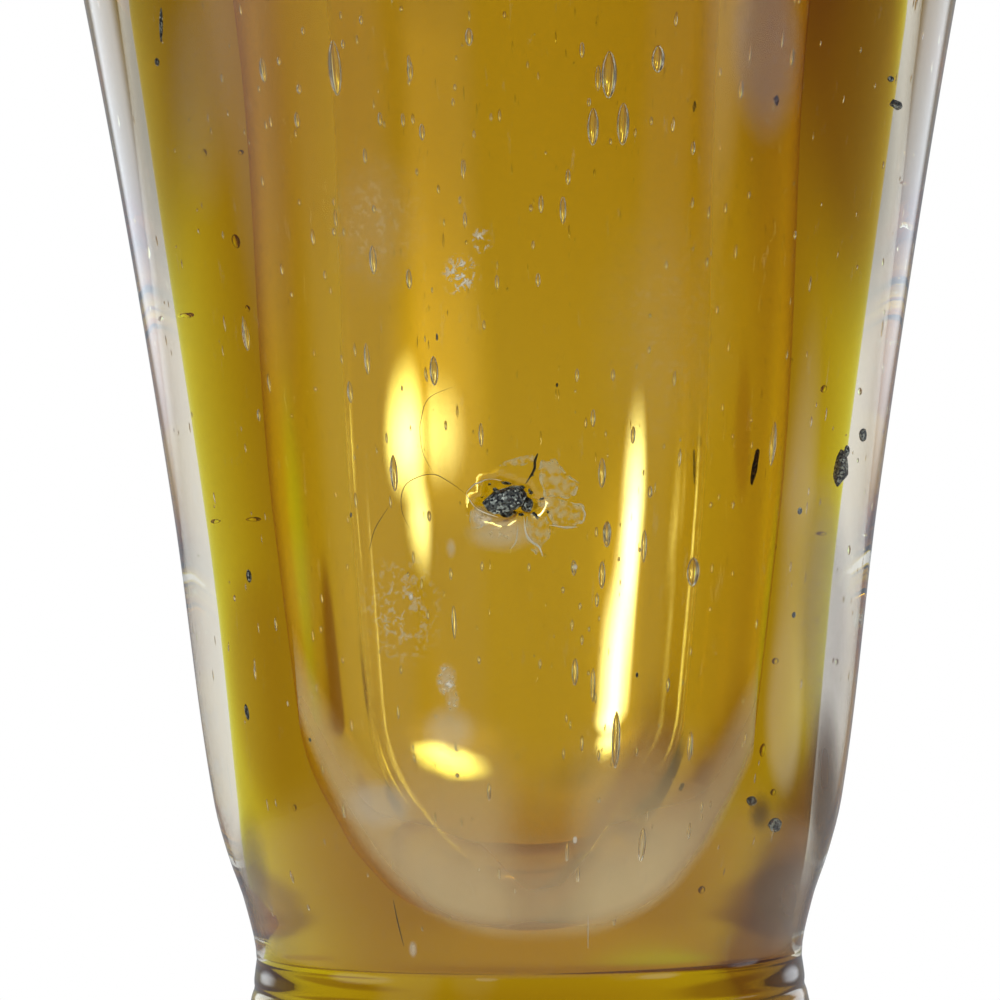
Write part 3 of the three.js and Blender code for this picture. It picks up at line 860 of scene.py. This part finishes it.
# %% [markdown]
# ## Materials
# Glass needs little colour and much shape. The clear glass is almost colourless, and marks such as fine
# scratches raise its roughness here and there. The amber keeps the index of its surroundings and colours
# light in two ways: a tint at each crossing, and absorption that grows with the way through the glass.

# %% Helpers for shader nodes
def new_material(name):
    """A material with its default nodes cleared, and its node tree."""
    material = bpy.data.materials.new(name)
    material.use_nodes = True
    material.node_tree.nodes.clear()
    return material, material.node_tree


def add_node(tree, kind, inputs=None, **settings):
    """A node of a kind. Its settings are set by name, and each input takes a value or another node's
    socket."""
    made = tree.nodes.new(kind)
    for name, value in settings.items():
        setattr(made, name, value)
    for name, value in (inputs or {}).items():
        if isinstance(value, bpy.types.NodeSocket):
            tree.links.new(value, made.inputs[name])
        else:
            made.inputs[name].default_value = value
    return made


def maths(tree, operation, *values):
    """The result socket of a Math node on one to three values or sockets."""
    return add_node(tree, "ShaderNodeMath", dict(enumerate(values)), operation=operation).outputs[0]


def smooth_step(tree, value, low, high):
    """0 below low, 1 above high (or the reverse where high is less than low), smooth between."""
    return add_node(tree, "ShaderNodeMapRange", {
        "Value": value, "From Min": low, "From Max": high, "To Min": 0.0, "To Max": 1.0},
        interpolation_type="SMOOTHSTEP").outputs[0]


def mixed(tree, factor, first, second):
    """The colour between two colours or sockets, by a factor from 0 (the first) to 1 (the second)."""
    return add_node(tree, "ShaderNodeMix", {"Factor": factor, "A": first, "B": second},
                    data_type="RGBA").outputs["Result"]


def principled(tree, inputs, **filling):
    """A Principled shader with the given inputs, joined to the material's output, and what fills the
    glass."""
    shader = add_node(tree, "ShaderNodeBsdfPrincipled", inputs).outputs[0]
    add_node(tree, "ShaderNodeOutputMaterial", {"Surface": shader, **filling})


def attribute(tree, name):
    """The number that a piece carries at each of its points under a name."""
    return add_node(tree, "ShaderNodeAttribute", attribute_name=name).outputs["Fac"]


HELPERS = (new_material, add_node, maths, smooth_step, mixed, principled, attribute)
print("helpers:", *(helper.__name__ for helper in HELPERS))

# %% [markdown]
# Much of a real finish is local: a stain here, a mark there. A soft patch is the simplest such thing, and
# both the finishes and the light of the studio are built up from patches.

# %% Soft patches
def lobe(tree, across, up, spot):
    """A soft patch: 1 inside an ellipse of two coordinates, falling smoothly to 0 at its rim."""
    middle, height, half_width, half_height, softness = spot
    across = maths(tree, "DIVIDE", maths(tree, "SUBTRACT", across, middle), half_width)
    up = maths(tree, "DIVIDE", maths(tree, "SUBTRACT", up, height), half_height)
    away = maths(tree, "SQRT", maths(tree, "ADD", maths(tree, "MULTIPLY", across, across),
                                     maths(tree, "MULTIPLY", up, up)))
    return smooth_step(tree, away, 1.0, 1.0 - softness)


def patches(tree, across, up, rows, base=0.0, strength=5):
    """A base level plus the soft patch of each row times its strength, which is the given number of the
    row."""
    total = base
    for row in rows:
        total = maths(tree, "MULTIPLY_ADD", lobe(tree, across, up, row[:5]), row[strength], total)
    return total


def bearing_and_height(tree, place):
    """Bearing from the front in degrees, positive to the right, and height above the waist in millimetres."""
    x, y, z = add_node(tree, "ShaderNodeSeparateXYZ", {"Vector": place}).outputs
    bearing = maths(tree, "DEGREES", maths(tree, "ARCTAN2", x, maths(tree, "MULTIPLY", y, -1.0)))
    return bearing, maths(tree, "MULTIPLY_ADD", z, 1 / MM, -WAIST)


print("a patch is a row of middle, height, half width, half height, softness and strength")

# %% [markdown]
# Glass that was handled has fine upright scratches and slow waves. Most finishes share them, so they are one
# node group, which puts out a mask and a height.

# %% Handling marks
def mark_group():
    """Node group of handling marks on glass: fine upright scratches as a mask, and slow waves as a height."""
    group = bpy.data.node_groups.new("handling_marks", "ShaderNodeTree")
    for name, kind in (("Vector", "NodeSocketVector"), ("Fineness", "NodeSocketFloat")):
        group.interface.new_socket(name, in_out="INPUT", socket_type=kind)
    for name in ("Scratches", "Waves"):
        group.interface.new_socket(name, in_out="OUTPUT", socket_type="NodeSocketFloat")
    start = group.nodes.new("NodeGroupInput")
    end = group.nodes.new("NodeGroupOutput")
    drawn = add_node(group, "ShaderNodeMapping", {"Vector": start.outputs["Vector"], "Scale": (1, 1, 0.12)})
    fine = add_node(group, "ShaderNodeTexNoise", {
        "Vector": drawn.outputs[0], "Scale": start.outputs["Fineness"], "Detail": 4.0, "Roughness": 0.6})
    scratches = add_node(group, "ShaderNodeMapRange", {
        "Value": fine.outputs[0], "From Min": 0.62, "From Max": 0.78, "To Min": 0.0, "To Max": 1.0})
    slow = add_node(group, "ShaderNodeTexNoise", {
        "Vector": drawn.outputs[0], "Scale": 45.0, "Detail": 2.0, "Roughness": 0.5})
    group.links.new(scratches.outputs[0], end.inputs["Scratches"])
    group.links.new(slow.outputs[0], end.inputs["Waves"])
    return group


HANDLING_MARKS = mark_group()


def marks_on(tree, fineness):
    """Scratches and waves of the handling marks in a material, and the piece's own coordinates."""
    place = tree.nodes.new("ShaderNodeTexCoord").outputs["Object"]
    made = add_node(tree, "ShaderNodeGroup", {"Vector": place, "Fineness": fineness},
                    node_tree=HANDLING_MARKS).outputs
    return made["Scratches"], made["Waves"], place


print("node group", HANDLING_MARKS.name, "with", len(HANDLING_MARKS.nodes), "nodes")

# %% [markdown]
# ## The finish of the glass
# The clear glass bends light and the amber inside it doesn't, as both have the same index. The amber's colour
# could all come from absorption. A tint at each crossing besides lets the seam and the hollow's side differ.

# %% Clear and amber glass
SEAM_TINT = (0.97, 0.95, 0.90, 1)
HOLLOW_TINT = (0.75, 0.55, 0.37, 1)
AMBER_KEEPS = (0.94, 0.90, 0.333, 1)
LINING_DENSITY, CORE_DENSITY = 600.0, 400.0
# The tint of the hollow's side grows from the first share to the second between these heights, in metres.
DEEPER_FROM, DEEPER_TO = 0.105, 0.14
LEAST_CLOUDY, MOST_CLOUDY = 0.8, 1.05
# Brown cords in the seam: bearing from the front, height above the waist, half widths, softness, strength.
CORDS = (
    (104, -2, 50, 34, 0.35, 1), (60, 0, 20, 7, 0.8, 0.35), (-98, 0, 30, 13, 0.8, 0.65),
    (86, 92, 22, 26, 0.8, 0.45),
)
CORD_TINT = (0.30, 0.15, 0.02, 1)


def clear_glass_material():
    """Nearly colourless glass. Scratches roughen it a little, and slow waves bend its surface slightly."""
    material, tree = new_material("clear_glass")
    scratches, waves, _ = marks_on(tree, 900.0)
    bump = add_node(tree, "ShaderNodeBump", {"Height": waves, "Strength": 0.04, "Distance": 0.002})
    principled(tree, {
        "Base Color": (0.985, 0.992, 0.988, 1), "Roughness": maths(tree, "MULTIPLY", scratches, 0.06),
        "IOR": GLASS_IOR, "Transmission Weight": 1.0, "Normal": bump.outputs[0]})
    return material


def amber_glass_material(name, density):
    """Amber glass inside clear glass: no bending, a slightly cloudy tint that is deeper on the hollow's side,
    brown cords on the seam's side, and absorption by the way."""
    material, tree = new_material(name)
    _, waves, place = marks_on(tree, 260.0)
    inner = attribute(tree, "hollow_side")
    bearing, above = bearing_and_height(tree, place)
    height = add_node(tree, "ShaderNodeSeparateXYZ", {"Vector": place}).outputs["Z"]
    deeper = add_node(tree, "ShaderNodeMapRange", {
        "Value": height, "From Min": DEEPER_FROM, "From Max": DEEPER_TO,
        "To Min": LEAST_CLOUDY, "To Max": MOST_CLOUDY}).outputs[0]
    cloudy = maths(tree, "MULTIPLY", inner, maths(tree, "MULTIPLY_ADD", waves, 0.4, deeper))
    brown = maths(tree, "MULTIPLY", patches(tree, bearing, above, CORDS), maths(tree, "SUBTRACT", 1.0, inner))
    colour = mixed(tree, brown, mixed(tree, cloudy, SEAM_TINT, HOLLOW_TINT), CORD_TINT)
    absorb = add_node(tree, "ShaderNodeVolumeAbsorption", {"Color": AMBER_KEEPS, "Density": density})
    principled(tree, {"Base Color": colour, "Roughness": 0.0, "IOR": 1.0, "Transmission Weight": 1.0},
               Volume=absorb.outputs[0])
    return material


clear_glass_piece.data.materials.append(clear_glass_material())
amber_lining.data.materials.append(amber_glass_material("amber_glass", LINING_DENSITY))
amber_core.data.materials.append(amber_glass_material("pale_amber_glass", CORE_DENSITY))
print("glass materials:", [material.name for material in bpy.data.materials if "glass" in material.name])

# %% [markdown]
# ## The veil's finish
# The veil follows the round end of the hollow: its lower edge is a U, it is densest along that edge and in
# two arms that rise left and right, and it thins out between and above them. The formula is written in the
# bearing from the front and in the height above the waist.

# %% Veil material
# The U is a floor height plus a rise times a power of the bearing off its middle over its half spread.
VEIL_FLOOR, VEIL_RISE, VEIL_POWER, VEIL_MIDDLE, VEIL_SPREAD = 5.4, 13.5, 2.6, 2.5, 55.0
BAND_COVER, ARM_COVER, LEAST_COVER, ARMS_MIDDLE = 0.38, 0.30, 0.004, 4.0


def off(tree, value, middle):
    """How far a value is from a middle, on either side."""
    return maths(tree, "ABSOLUTE", maths(tree, "SUBTRACT", value, middle))


def veil_material():
    """Pale haze whose cover is a U-shaped band with two arms, broken up by the slow waves."""
    material, tree = new_material("seed_veil")
    _, waves, place = marks_on(tree, 500.0)
    bearing, above = bearing_and_height(tree, place)
    turn = off(tree, bearing, ARMS_MIDDLE)
    spread = maths(tree, "DIVIDE", off(tree, bearing, VEIL_MIDDLE), VEIL_SPREAD)
    floor = maths(tree, "MULTIPLY_ADD", maths(tree, "POWER", spread, VEIL_POWER), VEIL_RISE, VEIL_FLOOR)
    over_floor = maths(tree, "SUBTRACT", above, floor)
    band = maths(tree, "MULTIPLY", smooth_step(tree, over_floor, 10.0, 2.5), BAND_COVER)
    arms = maths(tree, "MULTIPLY", smooth_step(tree, turn, 3.0, 17.0), smooth_step(tree, turn, 48.0, 26.0))
    arms = maths(tree, "MULTIPLY", arms, smooth_step(tree, above, 27.0, 14.0))
    cover = maths(tree, "MULTIPLY_ADD", arms, ARM_COVER, maths(tree, "ADD", band, LEAST_COVER))
    for share in (smooth_step(tree, over_floor, -1.4, 2.0), maths(tree, "ADD", waves, 0.5),
                  smooth_step(tree, above, VEIL_HIGH - 1.0, 26.0)):
        cover = maths(tree, "MULTIPLY", cover, share)
    principled(tree, {
        "Base Color": (0.90, 0.70, 0.36, 1), "Roughness": 0.9, "Specular IOR Level": 0.0, "Alpha": cover})
    return material


veil_piece.data.materials.append(veil_material())
print("veil cover along its edge:", BAND_COVER, "and in its arms:", ARM_COVER)

# %% [markdown]
# ## The finish of the wear and the painted light
# Each mark is a soft patch in millimetres across and up the front. Some are whole and some are broken up by
# noise into crumbs, as dried residue is. A bright spot among them is a painted highlight, the grey film is
# painted reflections and the dark brown patches are painted shadows.

# %% Wear and painted light material
# Right of the axis, above the waist, half width, half height, softness, cover, and how broken up, 0 to 1.
WEAR_AND_HIGHLIGHT_MARKS = (
    (-6.4, 68, 2.2, 2.6, 0.8, 1, 1), (-4.4, 71.4, 1.4, 1.5, 0.8, 0.9, 1),
    (-14.8, 73, 6, 9, 0.9, 0.12, 0.6), (-12.4, 34.5, 5, 7, 0.8, 0.22, 1),
    # The three patches from (-7.8, 27.5) to (-7.6, 22.4), a bright spot, a smaller one under it and a faint
    # patch below both, are a painted highlight.
    (-7.8, 27.5, 1.2, 2, 0.9, 1.4, 0.8), (-7.2, 25.4, 0.9, 1.3, 0.9, 1, 0.8),
    (-7.6, 22.4, 3.4, 3.2, 0.8, 0.22, 0), (-2.4, 42.2, 4.2, 2.2, 0.8, 0.3, 0.2),
    (5, 11.5, 0.3, 0.5, 0.6, 0.7, 0.2), (-14.6, 15, 4.6, 3, 0.7, 0.2, 0),
    (-7.4, 40.7, 0.6, 1.2, 0.8, 0.3, 0.3), (13.8, 62, 9, 16, 0.9, 0.05, 0.6),
    (-11.4, 35.8, 0.25, 0.4, 0.6, 0.8, 0), (5, 38.8, 0.3, 0.35, 0.6, 0.7, 0.2),
    (-11.2, 0.6, 0.5, 1, 0.7, 0.7, 0.5), (-4.3, 43.9, 1.3, 1.2, 0.4, 0.35, 0.3),
)
# Painted reflections in grey and painted shadows in dark brown, without crumbs: the same numbers up to the
# cover.
REFLECTION_PATCHES = (
    (28.6, 33, 3.4, 17, 0.6, 0.26), (22.5, 87, 4, 10, 0.6, 0.2), (-30, 84, 4, 14, 0.8, 0.1),
)
# Painted shadows: dark brown shade low on both flanks, and beside a speck on the right.
SHADOW_PATCHES = (
    (28.8, 15, 2.6, 13, 0.8, 0.75), (26.4, 6, 3, 8, 0.8, 0.6), (-26.8, 8, 2.4, 9, 0.8, 0.5),
    (22, 15.6, 1.5, 2.4, 1, 0.6), (23.6, 7, 3.4, 6.5, 0.9, 0.6),
)
# The pale colour belongs to the wear marks and the painted highlight, the grey one to the painted reflections
# and the brown one to the painted shadows.
WEAR_AND_HIGHLIGHT_COLOUR, REFLECTION_COLOUR = (0.92, 0.87, 0.74, 1), (0.42, 0.38, 0.46, 1)
SHADOW_COLOUR = (0.20, 0.09, 0.008, 1)
LEAST = 0.001


def wear_and_painted_light_material():
    """Pale, matt marks, a few of them a painted highlight, a greyer film of painted reflections and brown
    painted shadows. The cover is the sum of the patches, and noise above a level breaks the marks into crumbs."""
    material, tree = new_material("wear_and_painted_light")
    scratches, _, place = marks_on(tree, 1400.0)
    parts = add_node(tree, "ShaderNodeSeparateXYZ", {"Vector": place}).outputs
    across = maths(tree, "MULTIPLY", parts[0], 1 / MM)
    up = maths(tree, "MULTIPLY_ADD", parts[2], 1 / MM, -WAIST)
    crumbs = add_node(tree, "ShaderNodeTexNoise", {
        "Vector": place, "Scale": 1500.0, "Detail": 3.0, "Roughness": 0.7, "Distortion": 0.6}).outputs[0]
    broken = smooth_step(tree, crumbs, 0.52, 0.62)
    seen = np.array(WEAR_AND_HIGHLIGHT_MARKS).T
    places, _ = sight_points(seen[0], seen[1], np.zeros(len(WEAR_AND_HIGHLIGHT_MARKS)))
    cover = maths(tree, "MULTIPLY", scratches, 0.05)
    for point, row, nearer in zip(places, WEAR_AND_HIGHLIGHT_MARKS, nearness(places)):
        half_width, half_height, softness, strength, breaking = row[2:]
        spot = (point[0], point[2] - WAIST, half_width * nearer, half_height * nearer, softness)
        crumbled = maths(tree, "MULTIPLY_ADD", broken, strength * breaking, strength * (1 - breaking))
        cover = maths(tree, "MULTIPLY_ADD", lobe(tree, across, up, spot), crumbled, cover)
    # Painted shadows and painted reflections add to the cover, and their colours mix in by their shares.
    painted_shadow = patches(tree, across, up, SHADOW_PATCHES)
    reflection_and_shadow = maths(tree, "ADD", patches(tree, across, up, REFLECTION_PATCHES), painted_shadow)
    alpha = maths(tree, "MINIMUM", maths(tree, "ADD", cover, reflection_and_shadow), 1.0)
    shadow_share = maths(tree, "DIVIDE", painted_shadow, maths(tree, "MAXIMUM", reflection_and_shadow, LEAST))
    reflection_and_shadow_share = maths(tree, "DIVIDE", reflection_and_shadow, maths(tree, "MAXIMUM", alpha, LEAST))
    colour = mixed(tree, reflection_and_shadow_share, WEAR_AND_HIGHLIGHT_COLOUR, mixed(tree, shadow_share, REFLECTION_COLOUR, SHADOW_COLOUR))
    principled(tree, {"Base Color": colour, "Roughness": 0.8, "Specular IOR Level": 0.0, "Alpha": alpha})
    return material


wear_and_painted_light_piece.data.materials.append(wear_and_painted_light_material())
print(len(WEAR_AND_HIGHLIGHT_MARKS), "marks,", len(REFLECTION_PATCHES), "painted_reflections and", len(SHADOW_PATCHES), "painted_shadows")

# %% [markdown]
# ## The finish of the fracture
# The threads are dark or pale by their tone, and the flakes are palest at their rims.

# %% Thread and flake materials
def thread_material():
    """Dark brown to pale by the tone of each thread."""
    material, tree = new_material("crack_threads")
    colour = mixed(tree, attribute(tree, "tone"), (0.045, 0.03, 0.012, 1), (0.92, 0.88, 0.74, 1))
    principled(tree, {"Base Color": colour, "Roughness": 0.45, "Specular IOR Level": 0.2})
    return material


def flake_material():
    """Pale haze, thin in the middle of a flake and dense at its rim, uneven by fine noise."""
    material, tree = new_material("glass_flakes")
    scratches, _, place = marks_on(tree, 1500.0)
    grain = add_node(tree, "ShaderNodeTexNoise", {"Vector": place, "Scale": 1600.0, "Detail": 2.0}).outputs[0]
    rim = smooth_step(tree, attribute(tree, "way_out"), 0.80, 1.0)
    uneven = smooth_step(tree, grain, 0.35, 0.65)
    cover = maths(tree, "MULTIPLY", uneven, maths(tree, "MULTIPLY_ADD", rim, 0.28, 0.26))
    cover = maths(tree, "MULTIPLY_ADD", scratches, 0.2, cover)
    principled(tree, {
        "Base Color": (0.90, 0.85, 0.62, 1), "Roughness": 0.5, "Specular IOR Level": 0.1, "Alpha": cover})
    return material


threads_piece.data.materials.append(thread_material())
flakes_piece.data.materials.append(flake_material())
print(len(THREADS), "threads and", len(FLAKES), "flakes")

# %% [markdown]
# ## The stones' finish
# The lumps are dark, blue-grey where a crystal face catches the light and nearly black between. A cell
# pattern gives the grains, and its distance to the nearest grain's middle shades them.

# %% Stone material
def stone_material():
    """Dark crystalline stone: grains from a cell pattern, each with its own shade, and small bumps."""
    material, tree = new_material("dark_stone")
    scratches, _, place = marks_on(tree, 1500.0)
    grains = add_node(tree, "ShaderNodeTexVoronoi", {"Vector": place, "Scale": 4600.0})
    shade = add_node(tree, "ShaderNodeSeparateColor", {"Color": grains.outputs["Color"]})
    ramp = add_node(tree, "ShaderNodeValToRGB", {"Fac": shade.outputs[0]})
    stops = ramp.color_ramp.elements
    stops[0].position, stops[0].color = 0.25, (0.010, 0.012, 0.018, 1)
    stops[1].position, stops[1].color = 0.97, (0.52, 0.58, 0.52, 1)
    stops.new(0.66).color = (0.10, 0.115, 0.11, 1)
    bump = add_node(tree, "ShaderNodeBump", {
        "Height": grains.outputs["Distance"], "Strength": 0.7, "Distance": 0.0003})
    principled(tree, {
        "Base Color": ramp.outputs[0], "Roughness": maths(tree, "MULTIPLY_ADD", scratches, 0.25, 0.32),
        "Normal": bump.outputs[0]})
    return material


dark_stone = stone_material()
for piece in (*stones.values(), splinters_piece, specks_piece):
    piece.data.materials.append(dark_stone)
print("stone material on", len(stones), "pieces")

# %% [markdown]
# ## The studio
# Glass shows its surroundings, so the studio is worked out with the same care as the vase. Behind the vase it
# is white. Two tall lamps stand behind it, left and right of the camera's line: seen through the rippled
# hollow they make the bright streaks. The surroundings in front are dim, so that the front of the glass only
# mirrors a few pale cards.

# %% Lamps and cards
PLAIN_WHITE = (1.0, 1.0, 1.0, 1)
# Patches of the studio, by direction from the vase in degrees: azimuth (0 is straight behind it, positive is
# right), elevation, half width, half height, softness from 0 to 1, and strength.
HOLLOW_LIGHT = 0.85
LAMPS = (
    (-19.6, 6.3, 6.8, 3, 1, 7), (-16.6, 3, 4.6, 2.6, 1, 4), (-11.2, 6.6, 4.2, 2.4, 1, 2.2),
    (18.4, 3.8, 6, 4.8, 1, 6), (16.8, 0.6, 5.6, 4.2, 1, 5.5), (13.4, -2.4, 5, 4.4, 1, 9),
    (14, -8, 5, 5, 1, 7), (-15.5, -11.6, 8.5, 5, 1, 8), (-10.5, -12.4, 4, 3.4, 1, 4),
)
LAMP_TINT = (1.0, 1.5, 15.0)
GLOWS = (
    (-14, 8, 13, 6.5, 1, 0.8), (16, 1, 11, 7, 1, 0.6), (-14, -7, 12, 8, 1, 0.5),
    (20, -8, 14, 8, 1, 0.4), (8, -14, 8, 6, 1, -0.2),
)
# What the thick wall shows has a colour: the last two numbers of a patch are its red and green strengths.
WALL_LIGHT = (0.88, 0.92)
WALL_PATCHES = (
    (-2, 8, 26, 14, 0.8, 0.3, 0.45), (-18, 4, 14, 8, 0.8, 0.05, 0.5),
    (-42, 21, 24, 6.5, 0.6, -0.35, -0.48), (50, 24, 20, 8, 0.6, -0.35, -0.45),
    (-24, 31, 22, 14, 0.6, -0.4, -0.52), (35, -20, 20, 5, 0.6, -0.3, -0.42),
    (-38, -24, 20, 7, 0.6, -0.3, -0.42), (-38, -3, 12, 4.5, 0.5, -0.4, -0.55),
    (42, 6, 14, 4, 0.6, -0.15, -0.25),
)
WALL_BLUE = 0.7
# Rays that crossed clear glass alone, near the outline, see a warmer white.
CLEAR_WALL_TINT = (1.0, 0.97, 0.86)
TO_THE_FRONT = -0.5
# Pale cards that only the outside mirrors.
CARDS = (
    (-128, -12, 19, 40, 0.5, 0.45), (-105, -6, 20, 6.5, 0.5, 1.2), (-157, -12, 13, 30, 0.6, 0.3),
    (-162, -11, 5, 2.6, 0.15, 1.5), (125, -9, 12, 4.5, 0.5, 1.5), (139, -12, 10, 9, 0.6, 0.25),
    (78, -12, 13, 3.6, 0.5, 1.4), (-34, 1, 17, 5.5, 0.5, 1.9), (35, 0.5, 17, 5.5, 0.5, 1.6),
)
MIRRORED_BASE = 0.10
CARD_COLOUR = (0.80, 0.88, 0.97, 1)


print(len(LAMPS), "lamps and", len(CARDS), "cards in the studio")

# %% [markdown]
# A ray that has crossed many skins went through the hollow, and one that has crossed few stayed in the wall.
# The count of crossings therefore sorts the light: each kind of ray sees its own part of the studio.

# %% World
def build_world():
    """World light by direction. The camera sees white, and so does what is matt. Rays that the outside
    mirrors see a dim studio with pale cards. Rays that crossed the hollow, which takes eight skins, see the
    lamps, and rays that stayed in the thick wall see the studio beside them."""
    world = bpy.data.worlds.new("studio")
    bpy.context.scene.world = world
    world.use_nodes = True
    tree = world.node_tree
    tree.nodes.clear()
    direction = tree.nodes.new("ShaderNodeTexCoord").outputs["Generated"]
    right, back, up = add_node(tree, "ShaderNodeSeparateXYZ", {"Vector": direction}).outputs
    rays = tree.nodes.new("ShaderNodeLightPath").outputs
    way = (maths(tree, "DEGREES", maths(tree, "ARCTAN2", right, back)),
           maths(tree, "DEGREES", maths(tree, "ARCSINE", up)))

    lamps = patches(tree, *way, LAMPS)
    glow = patches(tree, *way, GLOWS, HOLLOW_LIGHT)
    hollow = [maths(tree, "MULTIPLY_ADD", lamps, tint, glow) for tint in LAMP_TINT]
    front = maths(tree, "MULTIPLY", smooth_step(tree, back, -0.2, -0.6), TO_THE_FRONT)
    wall = [maths(tree, "ADD", front, patches(tree, *way, WALL_PATCHES, light, strength))
            for strength, light in enumerate(WALL_LIGHT, start=5)]
    least = maths(tree, "MINIMUM", *wall)
    wall.append(maths(tree, "MULTIPLY", least, WALL_BLUE))
    tinted = [maths(tree, "MULTIPLY", least, tint) for tint in CLEAR_WALL_TINT]
    bare = maths(tree, "LESS_THAN", rays["Transmission Depth"], 3.5)
    crossed = maths(tree, "GREATER_THAN", rays["Transmission Depth"], 6.5)
    amber_wall, clear_wall, through_hollow = (
        add_node(tree, "ShaderNodeCombineColor", dict(zip(("Red", "Green", "Blue"), channels))).outputs[0]
        for channels in (wall, tinted, hollow))
    through = mixed(tree, crossed, mixed(tree, bare, amber_wall, clear_wall), through_hollow)

    matt = maths(tree, "GREATER_THAN", rays["Diffuse Depth"], 0.5)
    plain = maths(tree, "MAXIMUM", rays["Is Camera Ray"], matt)
    rim = maths(tree, "MULTIPLY", smooth_step(tree, back, 0.1, 0.9), 0.25)
    mirrored = maths(tree, "ADD", rim, patches(tree, *way, CARDS, MIRRORED_BASE))
    only_mirrored = maths(tree, "MULTIPLY", rays["Is Glossy Ray"],
                          maths(tree, "SUBTRACT", 1.0, rays["Is Transmission Ray"]))
    studio = add_node(tree, "ShaderNodeBackground", {"Color": mixed(tree, plain, through, PLAIN_WHITE)})
    cards = add_node(tree, "ShaderNodeBackground", {"Color": CARD_COLOUR, "Strength": mirrored})
    sky = add_node(tree, "ShaderNodeMixShader", {0: only_mirrored, 1: studio.outputs[0], 2: cards.outputs[0]})
    add_node(tree, "ShaderNodeOutputWorld", {"Surface": sky.outputs[0]})


build_world()
print("world", bpy.context.scene.world.name, "with", len(bpy.context.scene.world.node_tree.nodes), "nodes")

# %% [markdown]
# ## The floor
# The vase stands on a pale round table that fades into the white surroundings. Its edge is no edge at all:
# the surface turns transparent with distance, so only the soft shadow near the foot is left of it.

# %% Floor
FLOOR_SOLID, FLOOR_GONE = 0.10, 0.24
FLOOR_TOP, FLOOR_BOTTOM, FLOOR_RINGS = -0.2, -1.2, 12


def build_floor():
    """A ring-wise grid of a disc. Its material mixes white with nothing by the distance from the axis."""
    ring = np.linspace(0, FLOOR_GONE / MM, FLOOR_RINGS + 1)[1:]
    floor = make_piece("floor", *turned_skin(
        (ring, np.full(FLOOR_RINGS, FLOOR_TOP)), (ring[::-1], np.full(FLOOR_RINGS, FLOOR_BOTTOM))))
    material, tree = new_material("floor_white")
    place = tree.nodes.new("ShaderNodeTexCoord").outputs["Object"]
    away = add_node(tree, "ShaderNodeVectorMath", {0: place}, operation="LENGTH").outputs["Value"]
    white = add_node(tree, "ShaderNodeBsdfDiffuse", {"Color": (0.9, 0.9, 0.9, 1)})
    clear = tree.nodes.new("ShaderNodeBsdfTransparent")
    mix = add_node(tree, "ShaderNodeMixShader", {
        0: smooth_step(tree, away, FLOOR_SOLID, FLOOR_GONE * 0.99), 1: white.outputs[0], 2: clear.outputs[0]})
    add_node(tree, "ShaderNodeOutputMaterial", {"Surface": mix.outputs[0]})
    floor.data.materials.append(material)
    floor.visible_transmission = False


build_floor()

# %% [markdown]
# ## Handing the pieces over
# Each piece moves with a body of the frame and stands for the plain CAD solids that it refines, which are
# hidden. Light crosses up to a dozen skins in this vase and is mirrored inside it, so the renderer is allowed
# more bounces than usual.

# %% Ride and replace
for piece, nodes, slot in (
    (clear_glass_piece, ("body_casing", "foot_casing"), "clear_glass"),
    (amber_lining, ("body_lining",), "amber_glass"),
    (amber_core, ("foot_core",), "amber_glass"),
    (veil_piece, (), "clear_glass"),
    (wear_and_painted_light_piece, (), "clear_glass"),
    (threads_piece, (), "clear_glass"),
    (flakes_piece, (), "clear_glass"),
    (splinters_piece, (), "dark_stone"),
    (specks_piece, (), "dark_stone"),
    *((piece, (name,), "dark_stone") for name, piece in stones.items()),
):
    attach(piece, "root")
    if nodes:
        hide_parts(*nodes)
cycles = bpy.context.scene.cycles
cycles.max_bounces = cycles.transmission_bounces = 32
cycles.glossy_bounces = 12
cycles.transparent_max_bounces = 16
